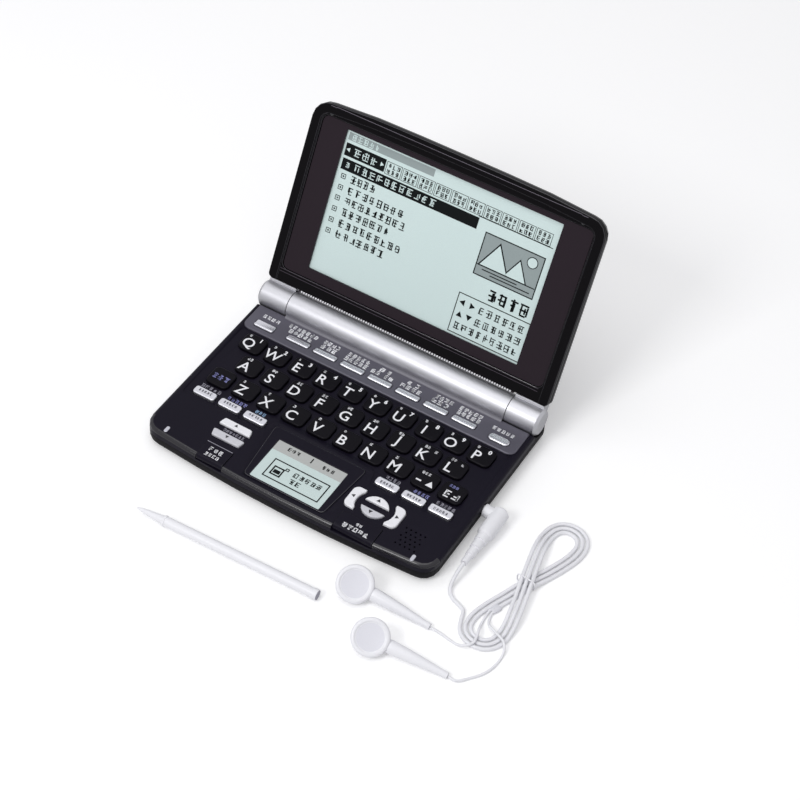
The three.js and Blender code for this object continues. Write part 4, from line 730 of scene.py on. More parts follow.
# Metal-coloured keys: seven function keys, power and jump in the strip, and three silver keys on each
# side in front of the letters. They are moulded caps with a bright paint, and those in the strip are
# highest at a bar in front.
BAR_DEPTH = 1.15 * MM
BAR_SLOPE = 0.5 * MM
BAR_STEP = 0.3 * MM
BAR_FALL = 0.5 * MM
KEY_FLANGE = 0.7 * MM
KEY_EDGE = 0.5 * MM
key_silver = surface("key_silver", (212, 212, 218), 0.26, 3500, 0.003 * MM, 0.06, Metallic=0.85)


def bright_key(node, corner, bar):
    """A key's cap, drawn up from its outline. With a bar, the rear of its top lies lower than the bar."""
    low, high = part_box(node)
    centre = ((low.x + high.x) / 2, (low.y + high.y) / 2)
    size = (high.x - low.x - 2 * KEY_FLANGE, high.y - low.y - 2 * KEY_FLANGE)
    key = outline_plate(node + "_cap", centre, size, corner, low.z)
    round_top_up(high.z - low.z, KEY_EDGE)
    if bar:
        front = low.y + KEY_FLANGE
        for cut in (front + BAR_DEPTH, front + BAR_DEPTH + BAR_SLOPE):
            bpy.ops.mesh.select_all(action="SELECT")
            bpy.ops.mesh.bisect(plane_co=(0, cut, 0), plane_no=(0, 1, 0))
        bpy.ops.object.mode_set(mode="OBJECT")
        rear = high.y - KEY_FLANGE
        for point in key.data.vertices:
            behind = point.co.y - front - BAR_DEPTH - BAR_SLOPE / 2
            if point.co.z > high.z - 1.5 * KEY_EDGE and behind > 0:
                point.co.z -= BAR_STEP + (BAR_FALL - BAR_STEP) * behind / (rear - front)
        bpy.ops.object.mode_set(mode="EDIT")
    close_up(key, key_silver, corner=40)
    fit(key, node, "silver_key", node)


for index in range(1, 8):
    bright_key(f"function_key_{index}", 0.9 * MM, True)
bright_key("power_key", 0.9 * MM, True)
bright_key("jump_key", 2 * MM, True)
CAP_MARKS = {"left": (-20.6, -19.1), "right": (-21.1, -19.6)}
CAP_MARK_HALF = 3.6
ink_slate = print_ink("ink_slate", 96, 96, 104)
for side, (near, far) in CAP_MARKS.items():
    for index in range(1, 4):
        node = f"silver_key_{side}_{index}"
        bright_key(node, 1.2 * MM, False)
        low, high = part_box(node)
        x = (low.x + high.x) / 2 / MM
        bars = tiny_marks(x - CAP_MARK_HALF, x + CAP_MARK_HALF, near, far, pen=0.22)
        fit(printed(node + "_marks", bars, high.z + INK / 4, ink_slate), node, "black_shell")

# Marks on the pan behind the silver keys: printed small on the black plastic in grey, lilac and light
# blue, one row of signs to each key.
PAN_LEVEL = 9.6 * MM
PAN_MARK_DEPTH = (-17, -15)
# Grey ink for printed marks; the same colour also paints the highlight lines behind the back and enter keys.
grey_ink_and_painted_glint = print_ink("grey_ink_and_painted_glint", 150, 148, 160)
ink_blue = print_ink("ink_blue", 150, 184, 220)
PAN_MARKS = (
    ("grey", grey_ink_and_painted_glint, ((-66, -55.4), (31, 38.5), (56.5, 66))),
    ("lilac", ink_lilac, ((-52, -41.5), (45, 53))),
    ("blue", ink_blue, ((-37, -31.5),)),
)
for tint, ink, areas in PAN_MARKS:
    bars = [bar for left, right in areas for bar in tiny_marks(left, right, *PAN_MARK_DEPTH, 0.26)]
    fit(printed(f"pan_marks_{tint}", bars, PAN_LEVEL + INK / 4, ink), "base", "white_plastic")

# Scroll and cursor keys: caps moulded in white plastic with printed dark arrows, set in openings of
# the deck. The half disc in front and the lower scroll key are slightly greyer.
CURSOR_ARROWS = {
    "scroll_key_up": (-38.3, -28.9, 1, 0),
    "scroll_key_down": (-38.3, -36.2, 1, 180),
    "nav_key_up": (36.3, -30.2, 1.15, 0),
    "nav_key_down": (36.2, -37.0, 1.15, 180),
    "nav_key_left": (25.6, -33.5, 1.1, 90),
    "nav_key_right": (47.3, -33.6, 1.1, -90),
}
SCROLL_MARKS = (-42.5, -31.5, -33.6, -32, 0.24)
key_white = surface("key_white", (238, 238, 242), 0.3, 3000, 0.003 * MM, 0.05)
key_pale = surface("key_pale", (204, 204, 210), 0.3, 3000, 0.003 * MM, 0.05)
ink_black = surface("ink_black", (34, 33, 38), 0.5, 1600, 0.002 * MM, 0.08)
for node, arrow_place in CURSOR_ARROWS.items():
    finish = key_pale if node in ("nav_key_down", "scroll_key_down") else key_white
    fit(moulding(node, node + "_cap", finish, edge=0.3 * MM), node, "white_plastic", node)
    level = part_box(node)[1].z + INK / 4
    fit(printed_arrows(node + "_arrow", [arrow_place], level, ink_black), node, "black_shell")
between_bars = tiny_marks(*SCROLL_MARKS)
fit(printed("scroll_marks", between_bars, DECK_LEVEL + INK / 4, grey_ink_and_painted_glint), "base", "white_plastic")

# Back and enter keys: painted caps that roll over the front lip of the case, each with a thin light line
# behind it, painted on the deck as a highlight where the rear edge catches light, and two rows of marks.
# Painted highlights: a light grey line on the deck behind each key, standing in for light on its rear edge.
LIP_KEY_GLINTS = {"back_key": (-37.9, -42.0, 13.2), "enter_key": (35.4, -42.8, 18.6)}
LIP_KEY_GLINT_WIDTH = 0.3
LIP_KEY_MARKS = {
    "back_key": ((-41.6, -33.8, -46.6, -44.2, 0.34), (-41.6, -33.8, -49.6, -47.6, 0.26)),
    "enter_key": ((34.6, 37.6, -46.5, -44.9, 0.3), (29.4, 42.6, -50, -47.4, 0.44)),
}


def smooth_film(name, color, roughness, mottle=0.05, **constant):
    """A surface as smooth as a film or a polished moulding."""
    return surface(name, color, roughness, 900, 0.001 * MM, mottle, **constant)


# Bevels of the lip keys, panel surround and lid frame: stronger real sheen plus a painted highlight colour.
edge_sheen_and_painted_highlight = smooth_film("edge_sheen_and_painted_highlight", (30, 28, 36), 0.22, 0.1, Specular_IOR_Level=0.6)
for node, (x, y, length) in LIP_KEY_GLINTS.items():
    cap = moulding(node, node + "_cap", deck_paint, edge=0.2 * MM, sheen=edge_sheen_and_painted_highlight)
    fit(cap, node, "black_shell", node)
    line = printed(node + "_line", [(x, y, length, LIP_KEY_GLINT_WIDTH)], DECK_LEVEL + INK / 4, grey_ink_and_painted_glint)
    fit(line, "base", "white_plastic")
    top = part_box(node)[1].z
    bars = [bar for area in LIP_KEY_MARKS[node] for bar in tiny_marks(*area)]
    fit(printed(node + "_marks", bars, top + INK / 4, ink_white), node, "white_plastic")

# Touch panel and its surround: a pale reflective display behind a thin film, framed by a black
# moulding that stands slightly above the deck. The dots of the display stand in a fine grid.
PANEL = (Vector((-0.8, -36.15)), Vector((35.35, 23.4)))
PANEL_HEADER = (0, 1, 0, 0.245)
PANEL_BLOCKS = ((0.515, 0.531, 0.04, 0.16), (0.21, 0.3, 0.635, 0.72))
PANEL_FRAMES = (
    ((0.13, 0.921, 0.418, 0.868), 0.55),
    ((0.19, 0.32, 0.57, 0.76), 0.7),
    ((0.335, 0.372, 0.51, 0.56), 0.4),
)
PANEL_MARKS = (
    ((0.167, 0.349, 0.05, 0.14), 0.3),
    ((0.68, 0.858, 0.07, 0.16), 0.3),
    ((0.447, 0.862, 0.505, 0.625), 0.34),
    ((0.458, 0.625, 0.67, 0.785), 0.34),
)
PANEL_LEVEL = 10.1 * MM
DOT_GAP_SHARE = 0.18
DOT_GAP_DEPTH = 0.07


def build_dot_grid():
    """The fine grid between the dots of a display, drawn on two axes of the place that it is given."""
    inputs = {"Color": "Color", "Place": "Vector", "Pitch": "Float", "Depth": "Float"}
    group, given, result = node_group("dot_grid", inputs, {"Color": "Color"})
    axes = group.nodes.new("ShaderNodeSeparateXYZ")
    group.links.new(given.outputs["Place"], axes.inputs[0])
    gaps = []
    for axis in ("X", "Y"):
        count = math_node(group, "DIVIDE", axes.outputs[axis], given.outputs["Pitch"])
        share = math_node(group, "FRACT", count)
        gaps.append(math_node(group, "LESS_THAN", share, DOT_GAP_SHARE))
    either = math_node(group, "MAXIMUM", *gaps)
    darker = math_node(group, "MULTIPLY", either, given.outputs["Depth"])
    left = math_node(group, "SUBTRACT", 1, darker)
    group.links.new(shaded(group, given.outputs["Color"], left), result.inputs["Color"])
    return group


dot_grid = build_dot_grid()


def display(name, color, roughness, pitch, lean=0.0):
    """A display's surface: its own skin, with the grid of its dots drawn over it."""
    material = smooth_film(name, color, roughness, 0.02, Specular_IOR_Level=0.3)
    nodes, links = material.node_tree.nodes, material.node_tree.links
    place = nodes.new("ShaderNodeTexCoord")
    upright = nodes.new("ShaderNodeMapping")
    upright.inputs["Rotation"].default_value = (-lean, 0, 0)
    grid = nodes.new("ShaderNodeGroup")
    grid.node_tree = dot_grid
    grid.inputs["Pitch"].default_value = pitch
    grid.inputs["Depth"].default_value = DOT_GAP_DEPTH
    links.new(place.outputs["Object"], upright.inputs["Vector"])
    links.new(upright.outputs["Vector"], grid.inputs["Place"])
    skin = next(node for node in nodes if node.type == "GROUP" and node.node_tree == moulded_skin)
    links.new(skin.outputs["Color"], grid.inputs["Color"])
    links.new(grid.outputs["Color"], nodes["Principled BSDF"].inputs["Base Color"])
    return material


panel_glass = display("panel_glass", (206, 222, 220), 0.25, 0.36 * MM)
panel_shade = smooth_film("panel_shade", (180, 182, 180), 0.3, 0.03)
dot_black = smooth_film("dot_black", (13, 17, 18), 0.4, Specular_IOR_Level=0.08)
# The surround's bevels take the painted edge highlight.
surround = moulding("panel_surround", "panel_surround_frame", deck_paint, edge=0.12 * MM, sheen=edge_sheen_and_painted_highlight)
fit(surround, "base", "black_shell", "panel_surround")
fit(moulding("touch_panel", "touch_panel_film", panel_glass), "base", "display", "touch_panel")


def in_window(window, left, right, top, bottom):
    """A bar in mm, from its shares of a window's width and of its height from the top."""
    middle, size = window
    x = middle.x + size.x * ((left + right) / 2 - 0.5)
    y = middle.y + size.y * (0.5 - (top + bottom) / 2)
    return (x, y, size.x * (right - left), size.y * (bottom - top))


def marks_in_window(window, area, pen, cell_share=1.0):
    x, y, width, depth = in_window(window, *area)
    return tiny_marks(x - width / 2, x + width / 2, y - depth / 2, y + depth / 2, pen, cell_share)


def frame_in_window(window, area, pen):
    """The four bars of a printed frame."""
    x, y, width, depth = in_window(window, *area)
    return [
        (x, y + depth / 2, width + pen, pen),
        (x, y - depth / 2, width + pen, pen),
        (x - width / 2, y, pen, depth + pen),
        (x + width / 2, y, pen, depth + pen),
    ]


header_strip = printed("panel_header", [in_window(PANEL, *PANEL_HEADER)], PANEL_LEVEL + INK / 4, panel_shade)
fit(header_strip, "base", "display")
panel_bars = [in_window(PANEL, *area) for area in PANEL_BLOCKS]
for area, pen in PANEL_FRAMES:
    panel_bars += frame_in_window(PANEL, area, pen)
for area, pen in PANEL_MARKS:
    panel_bars += marks_in_window(PANEL, area, pen)
fit(printed("panel_marks", panel_bars, PANEL_LEVEL + INK, dot_black), "base", "black_shell")

# Hinge barrel and caps: painted silver tubes on one axis. The barrel belongs to the base and holds
# the cells, and the caps are part of the lid and turn with it on the steel pins.
HINGE_AXIS = Vector((0, 46.05, 12.5)) * MM
LID_LEAN = math.radians(63.1)
LID_PLACE = Matrix.Translation(HINGE_AXIS) @ Matrix.Rotation(LID_LEAN, 4, "X")
FACE_LEVEL = 0.7 * MM
FLANGE_PLACE = (65.45, 7.6)
FLANGE_SIZE = Vector((14.3, 1.0)) * MM
FLANGE_CORNER = 0.2 * MM
FLANGE_FOOT = FACE_LEVEL - 0.2 * MM
FLANGE_RISE = 0.5 * MM
FLANGE_EDGE = 0.15 * MM
hinge_silver = surface("hinge_silver", (182, 182, 186), 0.44, 4200, 0.006 * MM, 0.06, Metallic=1.0)
barrel = moulding("hinge_barrel", "hinge_barrel_tube", hinge_silver, edge=0.12 * MM)
fit(barrel, "base", "silver_paint", "hinge_barrel")


def lay_on_lid(piece):
    """Moves a piece from its flat drawing, x across and y up from the hinge axis, to the open lid."""
    return put(piece, LID_PLACE)


for side, sign in (("left", -1), ("right", 1)):
    node = "hinge_cap_" + side
    cap = moulding(node, node + "_shell", hinge_silver, edge=0.12 * MM)
    fit(cap, "lid", "silver_paint", node)
    flange_middle = (sign * FLANGE_PLACE[0] * MM, FLANGE_PLACE[1] * MM)
    flange = (node + "_flange", flange_middle, FLANGE_SIZE, FLANGE_CORNER, FLANGE_FOOT)
    flange = raised_plate(*flange, FLANGE_RISE, FLANGE_EDGE, hinge_silver)
    fit(lay_on_lid(flange), "lid", "silver_paint")

# Lid: a glossy black frame and back cover, moulded and clear coated. Two small dark bumpers near the
# upper corners of the frame keep it off the base when it is closed.
BUMPER_PLACES = ((-64.8, 92.6), (62.3, 93.0))
BUMPER_PROFILE = ((1.1, 0.4), (1.1, 0.9), (0.935, 1.05), (0.44, 1.1))
CHIN_END = 13 * MM
CHIN_HALF = 68 * MM
CHIN_MARGIN = 0.1 * MM
gloss_black = smooth_film("gloss_black", (11, 9, 12), 0.12, 0.1, Specular_IOR_Level=0.06)
cover_black = smooth_film("cover_black", (16, 14, 19), 0.14, 0.1, Specular_IOR_Level=0.3)
# The frame's bevels take the painted edge highlight beside their real sheen.
lid_frame = moulding("lid_frame", "lid_frame_shell", gloss_black, edge=0.3 * MM, sheen=edge_sheen_and_painted_highlight)
chin_film = smooth_film("chin_film", (34, 27, 33), 0.2, Specular_IOR_Level=0.12)


def on_chin(middle, normal):
    place = LID_PLACE.inverted() @ middle
    on_face = abs(place.z - FACE_LEVEL) < CHIN_MARGIN
    return on_face and place.y < CHIN_END and abs(place.x) < CHIN_HALF


paint_faces(lid_frame, chin_film, on_chin)
fit(lid_frame, "lid", "gloss_shell", "lid_frame")
fit(moulding("lid_cover", "lid_cover_shell", cover_black), "lid", "gloss_shell", "lid_cover")


def turned(name, profile, sides):
    """A turned form about the vertical: rings drawn up one after another, closed at both ends.

    Each ring of the profile is its radius and its height, in mm."""
    (radius, height), *rest = [(radius * MM, height * MM) for radius, height in profile]
    clear_selection()
    bpy.ops.mesh.primitive_circle_add(vertices=sides, radius=radius, fill_type="NGON", location=(0, 0, 0))
    form = named(name)
    edit_all()
    bpy.ops.transform.translate(value=(0, 0, height))
    for next_radius, next_height in rest:
        lift = (0, 0, next_height - height)
        bpy.ops.mesh.extrude_region_move(TRANSFORM_OT_translate={"value": lift})
        growth = next_radius / radius
        bpy.ops.transform.resize(value=(growth, growth, 1), center_override=(0, 0, next_height))
        radius, height = next_radius, next_height
    return form


for number, (x, y) in enumerate(BUMPER_PLACES, 1):
    bumper = turned(f"lid_bumper_{number}", BUMPER_PROFILE, 20)
    close_up(bumper, rubber)
    put(bumper, Matrix.Translation((x * MM, y * MM, 0)))
    fit(lay_on_lid(bumper), "lid", "dark_rubber")

# Screen: a bezel plate of dark film over the display, which is pale green-grey where no dot is set.
# Along the plate's lower edge run two fine light lines, painted highlights where its edges catch light,
# and a light line painted along the rim's crest is a highlight too. A beaded silver trim ends the lid.
# Painted highlights: two light bars along the bezel's lower edge.
BEZEL_HIGHLIGHTS = ((-0.9, 13.15, 136.4, 0.22), (-0.9, 14.5, 136.4, 0.22))
# Painted highlight: a light line along the crest of the rim, where its rounded edge catches light.
RIM_HIGHLIGHT_BARS = ((-1, 96.4, 124, 0.24), (-64.4, 96.1, 3, 0.24), (62.4, 96.1, 3, 0.24))
RIM_LEVEL = 1.6 * MM
BEAD_PITCH = 1.3 * MM
BEAD_RADIUS = 0.5
BEAD_ANGLES = (25, 60, 90, 120, 155)
BEAD_PLACE = Vector((7.9, 0.72)) * MM
TRIM_HALF = 56.4 * MM
bezel_film = smooth_film("bezel_film", (38, 29, 36), 0.2, Specular_IOR_Level=0.12)
# Colour of the painted highlight lines on the bezel.
bezel_highlight_paint = smooth_film("bezel_highlight_paint", (74, 66, 76), 0.3, Specular_IOR_Level=0.2)
screen_pale = display("screen_pale", (214, 232, 230), 0.3, 0.23 * MM, lean=LID_LEAN)
fit(moulding("screen_bezel", "screen_bezel_plate", bezel_film), "lid", "screen_surround", "screen_bezel")
fit(moulding("main_screen", "main_screen_glass", screen_pale), "lid", "display", "main_screen")
# A lighter strip laid on the rim: the painted highlight of its crest.
rim_highlight_paint = smooth_film("rim_highlight_paint", (104, 98, 108), 0.3, Specular_IOR_Level=0.3)
rim = lay_on_lid(printed("rim_highlight_paint", RIM_HIGHLIGHT_BARS, RIM_LEVEL + INK / 4, rim_highlight_paint))
fit(rim, "lid", "screen_surround")
# The bezel's painted highlight lines, laid on the lid's face.
lines = lay_on_lid(printed("bezel_lines", BEZEL_HIGHLIGHTS, FACE_LEVEL + INK / 4, bezel_highlight_paint))
fit(lines, "lid", "screen_surround")
fit(moulding("lid_trim", "lid_trim_strip", bezel_film, edge=0.1 * MM), "lid", "silver_paint", "lid_trim")
bead_angles = [math.radians(angle) for angle in BEAD_ANGLES]
bead_profile = [(BEAD_RADIUS * math.sin(angle), -BEAD_RADIUS * math.cos(angle)) for angle in bead_angles]
beads = turned("lid_trim_beads", bead_profile, 8)
bead_silver = smooth_film("bead_silver", (236, 236, 240), 0.4)
close_up(beads, bead_silver, corner=60)
bead_count = int(2 * TRIM_HALF / BEAD_PITCH)
put(beads, Matrix.Translation((-(bead_count - 1) * BEAD_PITCH / 2, BEAD_PLACE.x, BEAD_PLACE.y)))
bead_steps = {"use_constant_offset": True, "constant_offset_displace": (BEAD_PITCH, 0, 0)}
modified(beads, "ARRAY", count=bead_count, use_relative_offset=False, **bead_steps)
fit(lay_on_lid(beads), "lid", "silver_paint")

# What the screen shows: a row of tabs, a list beside a small generic picture of hills and a sun, and
# a box of hints. All of it is dots of the display, so it lies just over the glass.
SCREEN = (Vector((-0.825, 54.325)), Vector((109.85, 68.45)))
SCREEN_LEVEL = -0.9 * MM
GREY_LIFT = 0.4
BLACK_LIFT = 1.0
PALE_LIFT = 1.6
PICTURE_LIFT = 1.7
PICTURE = (0.7, 0.97, 0.262, 0.55)
GREY_BLOCKS = ((0.01, 0.415, 0.015, 0.066), PICTURE)
BLACK_BLOCKS = ((0.01, 0.2, 0.087, 0.174), (0.012, 0.655, 0.192, 0.27), (0.649, 0.986, 0.179, 0.184))
PALE_MARKS = (
    ((0.025, 0.158, 0.018, 0.062), 0.36),
    ((0.05, 0.165, 0.1, 0.162), 0.4),
    ((0.03, 0.05, 0.212, 0.25), 0.4),
    ((0.068, 0.46, 0.203, 0.258), 0.42),
)
TAB_COUNT = 10
TABS_LEFT = 0.202
TAB_WIDTH = 0.0771
TAB_FRAME = (0.004, 0.0741, 0.094, 0.178)
TAB_MARKS = ((0.009, 0.0691, 0.102, 0.134), (0.009, 0.0691, 0.14, 0.172))
LIST_ROWS = ((0.311, 0.189), (0.389, 0.341), (0.464, 0.362), (0.542, 0.304), (0.621, 0.373), (0.7, 0.306))
LIST_BOX = (0.026, 0.045, -0.014, 0.016)
LIST_DOT = (0.032, 0.039, -0.004, 0.006)
MORE_MARKS = (0.782, 0.978, 0.6, 0.69)
HINT_BOX = (0.67, 0.998, 0.71, 0.985)
HINT_ROWS = ((0.77, 0.765), (0.854, 0.765), (0.932, 0.685))
GROUND_LINES = ((0.704, 0.966, 0.478), (0.73, 0.89, 0.5), (0.77, 0.95, 0.52))
TAB_ARROWS = ((0.026, 0.13, 1.2, 90), (0.184, 0.13, 1.2, -90))
HINT_ARROWS = (
    (0.697, 0.768, 1.7, 90),
    (0.738, 0.768, 1.7, -90),
    (0.697, 0.856, 1.7, 0),
    (0.74, 0.846, 1.7, 180),
)
HILL_EDGES = ((0.775, 0.415, 8.6, 0), (0.875, 0.43, 6.6, 0))
HILLS = ((0.775, 0.42, 7.7, 0), (0.875, 0.434, 5.8, 0))
SUN_PLACE = (0.925, 0.325)
dot_grey = smooth_film("dot_grey", (146, 158, 158), 0.4)


def beside(area, across, down=0):
    left, right, top, bottom = area
    return (left + across, right + across, top + down, bottom + down)


grey_bars = [in_window(SCREEN, *area) for area in GREY_BLOCKS]
black_bars = [in_window(SCREEN, *area) for area in BLACK_BLOCKS]
pale_bars = []
for area, pen in PALE_MARKS:
    pale_bars += marks_in_window(SCREEN, area, pen)
for index in range(TAB_COUNT):
    left = TABS_LEFT + index * TAB_WIDTH
    black_bars += frame_in_window(SCREEN, beside(TAB_FRAME, left), 0.22)
    for area in TAB_MARKS:
        black_bars += marks_in_window(SCREEN, beside(area, left), 0.3)
for level, end in LIST_ROWS:
    black_bars += frame_in_window(SCREEN, beside(LIST_BOX, 0, level), 0.3)
    black_bars += [in_window(SCREEN, *beside(LIST_DOT, 0, level))]
    black_bars += marks_in_window(SCREEN, (0.068, end, level - 0.028, level + 0.029), 0.44, 0.95)
black_bars += marks_in_window(SCREEN, MORE_MARKS, 0.8, 0.8)
black_bars += frame_in_window(SCREEN, HINT_BOX, 0.4)
for level, start in HINT_ROWS:
    black_bars += marks_in_window(SCREEN, (start, 0.985, level - 0.028, level + 0.028), 0.4)
black_bars += frame_in_window(SCREEN, PICTURE, 0.5)
black_bars += [in_window(SCREEN, left, right, level, level + 0.007) for left, right, level in GROUND_LINES]
for name, bars, lift, material in (
    ("screen_greys", grey_bars, GREY_LIFT, dot_grey),
    ("screen_blacks", black_bars, BLACK_LIFT, dot_black),
    ("screen_pales", pale_bars, PALE_LIFT, screen_pale),
):
    fit(lay_on_lid(printed(name, bars, SCREEN_LEVEL + lift * INK, material)), "lid", "display")
for name, places, lift, material in (
    ("screen_arrows_pale", TAB_ARROWS, PALE_LIFT, screen_pale),
    ("screen_arrows", HINT_ARROWS, BLACK_LIFT, dot_black),
    ("screen_hills_dark", HILL_EDGES, BLACK_LIFT, dot_black),
    ("screen_hills", HILLS, PICTURE_LIFT, screen_pale),
):
    arrows = [(*in_window(SCREEN, x, x, y, y)[:2], radius, turn) for x, y, radius, turn in places]
    layer = printed_arrows(name, arrows, SCREEN_LEVEL + lift * INK, material)
    fit(lay_on_lid(layer), "lid", "display")
sun_x, sun_y, _, _ = in_window(SCREEN, SUN_PLACE[0], SUN_PLACE[0], SUN_PLACE[1], SUN_PLACE[1])
for name, radius, lift, material in (
    ("screen_sun_dark", 2.7, BLACK_LIFT, dot_black),
    ("screen_sun", 2.3, PICTURE_LIFT, screen_pale),
):
    sun = turned(name, ((radius, -INK / 2 / MM), (radius, INK / 2 / MM)), 24)
    close_up(sun, material)
    put(sun, Matrix.Translation((sun_x * MM, sun_y * MM, SCREEN_LEVEL + lift * INK)))
    fit(lay_on_lid(sun), "lid", "display")

# Earphone cord: one limp white cord from the plug's strain relief along the table, then laid in a
# hank of figure-of-eight loops. At the hank's end it splits into a thinner lead for each earbud.
CORD_DIAMETER = 1.8 * MM
LEAD_DIAMETER = 1.2 * MM
RELIEF_END = Vector((81.2, -34.2, 4.3)) * MM
SEAM = 0.3 * MM
CORD_ROUTE = [
    (0, -3, 5),
    (0, -6, 4.2),
    (0, -8.9, 2.9),
    (0.4, -11.3, 1.8),
    (1.7, -13.7, 1.15),
    (4, -15.6, 0.92),
    (7, -16.8, 0.9),
]
LEAD_A_ROUTE = [
    (20.2, -17.3, 0.6),
    (20.8, -21.3, 1.2),
    (21.8, -24.8, 2.7),
    (22.8, -28.3, 2.7),
    (23, -31.6, 2.7),
    (21, -33.9, 2.1),
    (17.2, -34.6, 0.6),
    (12.4, -34.2, 0.6),
]
LEAD_B_ROUTE = [
    (22.2, -16.2, 0.6),
    (23.4, -19, 1.4),
    (25.8, -21.1, 2.7),
    (29.2, -22.4, 2.7),
    (32.6, -23.8, 2.7),
    (35, -26.4, 2),
    (35.8, -30.4, 0.6),
    (35.4, -36.2, 0.6),
    (33.4, -41.6, 0.6),
    (30, -46.1, 0.6),
]
HANK_CENTRE = Vector((107.4, -26.8)) * MM
HANK_DIRECTION = math.radians(84)
HANK_SPACING = 2.32 * MM
HANK_LOOPS = 2.9
HANK_START_SHARE = 0.84
HANK_HALF_LENGTH = 36.4 * MM
HANK_HALF_WIDTH = 6.2 * MM
HANK_FULLNESS_SHARE = 0.36
HANK_HUMP_LEVEL = 16 * MM
HANK_HUMP_END = 30 * MM
TIE_LIFT = 0.9 * MM
TIE_LIFT_REACH = 12 * MM
HANK_STEPS = 290
cord_white = surface("cord_white", (239, 239, 243), 0.42, 1800, 0.004 * MM, 0.04)


def smooth_step(value):
    t = min(max(value, 0), 1)
    return t * t * (3 - 2 * t)


def figure_of_eight(angle):
    fullness = 1 + HANK_FULLNESS_SHARE * math.cos(angle) ** 2
    return Vector((HANK_HALF_LENGTH * math.cos(angle), -HANK_HALF_WIDTH * math.sin(2 * angle) * fullness))


def hank_point(turns):
    """A place on the hank: each loop lies beside the one before, and the way back crosses above."""
    angle = (HANK_START_SHARE + 2 * turns) * math.pi
    nudge = math.pi / 1000
    here = figure_of_eight(angle)
    ahead = (figure_of_eight(angle + nudge) - figure_of_eight(angle - nudge)).normalized()
    offset = (turns - HANK_LOOPS / 2) * HANK_SPACING
    along = here.x - ahead.y * offset
    across = here.y + ahead.x * offset
    ramp = HANK_HUMP_END - HANK_HUMP_LEVEL
    going_back = 0 if ahead.x < 0 else 1
    over = going_back * HANK_SPACING * smooth_step((HANK_HUMP_END - abs(along)) / ramp)
    lift = TIE_LIFT * smooth_step(1 - abs(along) / TIE_LIFT_REACH)
    ahead_axis = Vector((math.cos(HANK_DIRECTION), math.sin(HANK_DIRECTION)))
    place = HANK_CENTRE + ahead_axis * along + ahead_axis.orthogonal() * across
    return Vector((place.x, place.y, TABLE_LEVEL + CORD_DIAMETER / 2 + over + lift))


def on_table(route):
    """Route points, given from the strain relief's end and up from the table, in the part's frame."""
    start = Vector((RELIEF_END.x, RELIEF_END.y, TABLE_LEVEL))
    return [start + Vector(place) * MM for place in route]


def through(points, steps):
    """A smooth run through points, as a limp cord takes it: a centripetal curve."""
    ends = [points[0] * 2 - points[1], *points, points[-1] * 2 - points[-2]]
    run = []
    for a, b, c, d in zip(ends, ends[1:], ends[2:], ends[3:]):
        t1, t2, t3 = ((q - p).length ** 0.5 for p, q in ((a, b), (b, c), (c, d)))
        m1 = (c - b) + t2 * ((b - a) / t1 - (c - a) / (t1 + t2))
        m2 = (c - b) + t2 * ((d - c) / t3 - (d - b) / (t2 + t3))
        for step in range(steps):
            t = step / steps
            run.append(
                b * (2 * t**3 - 3 * t**2 + 1)
                + m1 * (t**3 - 2 * t**2 + t)
                + c * (3 * t**2 - 2 * t**3)
                + m2 * (t**3 - t**2)
            )
    return [*run, points[-1]]


def cord_curve(name, points, diameter, material=cord_white, roundness=3):
    """A round tube along points."""
    curve = bpy.data.curves.new(name, "CURVE")
    curve.dimensions = "3D"
    curve.bevel_depth = diameter / 2
    curve.bevel_resolution = roundness
    curve.use_fill_caps = True
    line = curve.splines.new("POLY")
    line.points.add(len(points) - 1)
    for point, place in zip(line.points, points):
        point.co = (*place, 1)
    line.use_smooth = True
    piece = bpy.data.objects.new(name, curve)
    bpy.context.scene.collection.objects.link(piece)
    curve.materials.append(material)
    return piece


def as_mesh(curve):
    pick(curve)
    bpy.ops.object.convert(target="MESH")
    return bpy.context.object


hank_run = [hank_point(HANK_LOOPS * step / HANK_STEPS) for step in range(HANK_STEPS + 1)]
hank_start = hank_run[0] + (hank_run[0] - hank_run[1]).normalized() * CORD_DIAMETER
hank_end = hank_run[-1] + (hank_run[-1] - hank_run[-2]).normalized() * CORD_DIAMETER
before_hank = hank_start + (hank_run[0] - hank_run[1]).normalized() * CORD_DIAMETER * 2.5
cord_exit = RELIEF_END - Vector((0, SEAM, 0))
cord_run = through([cord_exit, *on_table(CORD_ROUTE), before_hank, hank_start], 4)
cord_points = [*cord_run, *hank_run, hank_end]
main_cord = cord_curve("earphone_cord_run", cord_points, CORD_DIAMETER)
fit(main_cord, "earphones", "white_plastic", "earphone_cord", "cord_hank")

# Tie: a thin wire with a white plastic coat. It is laid round the waist of the hank and keeps the
# loops together.
TIE_DIAMETER = 0.7 * MM
TIE_HALF_WIDTH = 4.5 * MM
TIE_BOTTOM = 0.36 * MM
TIE_TOP = 5.45 * MM
TIE_STEPS = 32
tie_points = []


def squared(share):
    """Turns a sine or cosine into one that gives a square with round corners."""
    return math.copysign(abs(share) ** 0.5, share)


for step in range(TIE_STEPS):
    angle = 2 * math.pi * step / TIE_STEPS
    across = squared(math.cos(angle)) * TIE_HALF_WIDTH
    upward = squared(math.sin(angle)) * (TIE_TOP - TIE_BOTTOM) / 2
    side = Vector((math.cos(HANK_DIRECTION), math.sin(HANK_DIRECTION))).orthogonal() * across
    level = TABLE_LEVEL + (TIE_TOP + TIE_BOTTOM) / 2 + upward
    tie_points.append(Vector((HANK_CENTRE.x + side.x, HANK_CENTRE.y + side.y, level)))
tie = cord_curve("hank_tie", tie_points, TIE_DIAMETER)
tie.data.splines[0].use_cyclic_u = True
tie = as_mesh(tie)
bpy.ops.object.shade_smooth()
fit(tie, "earphones", "white_plastic")

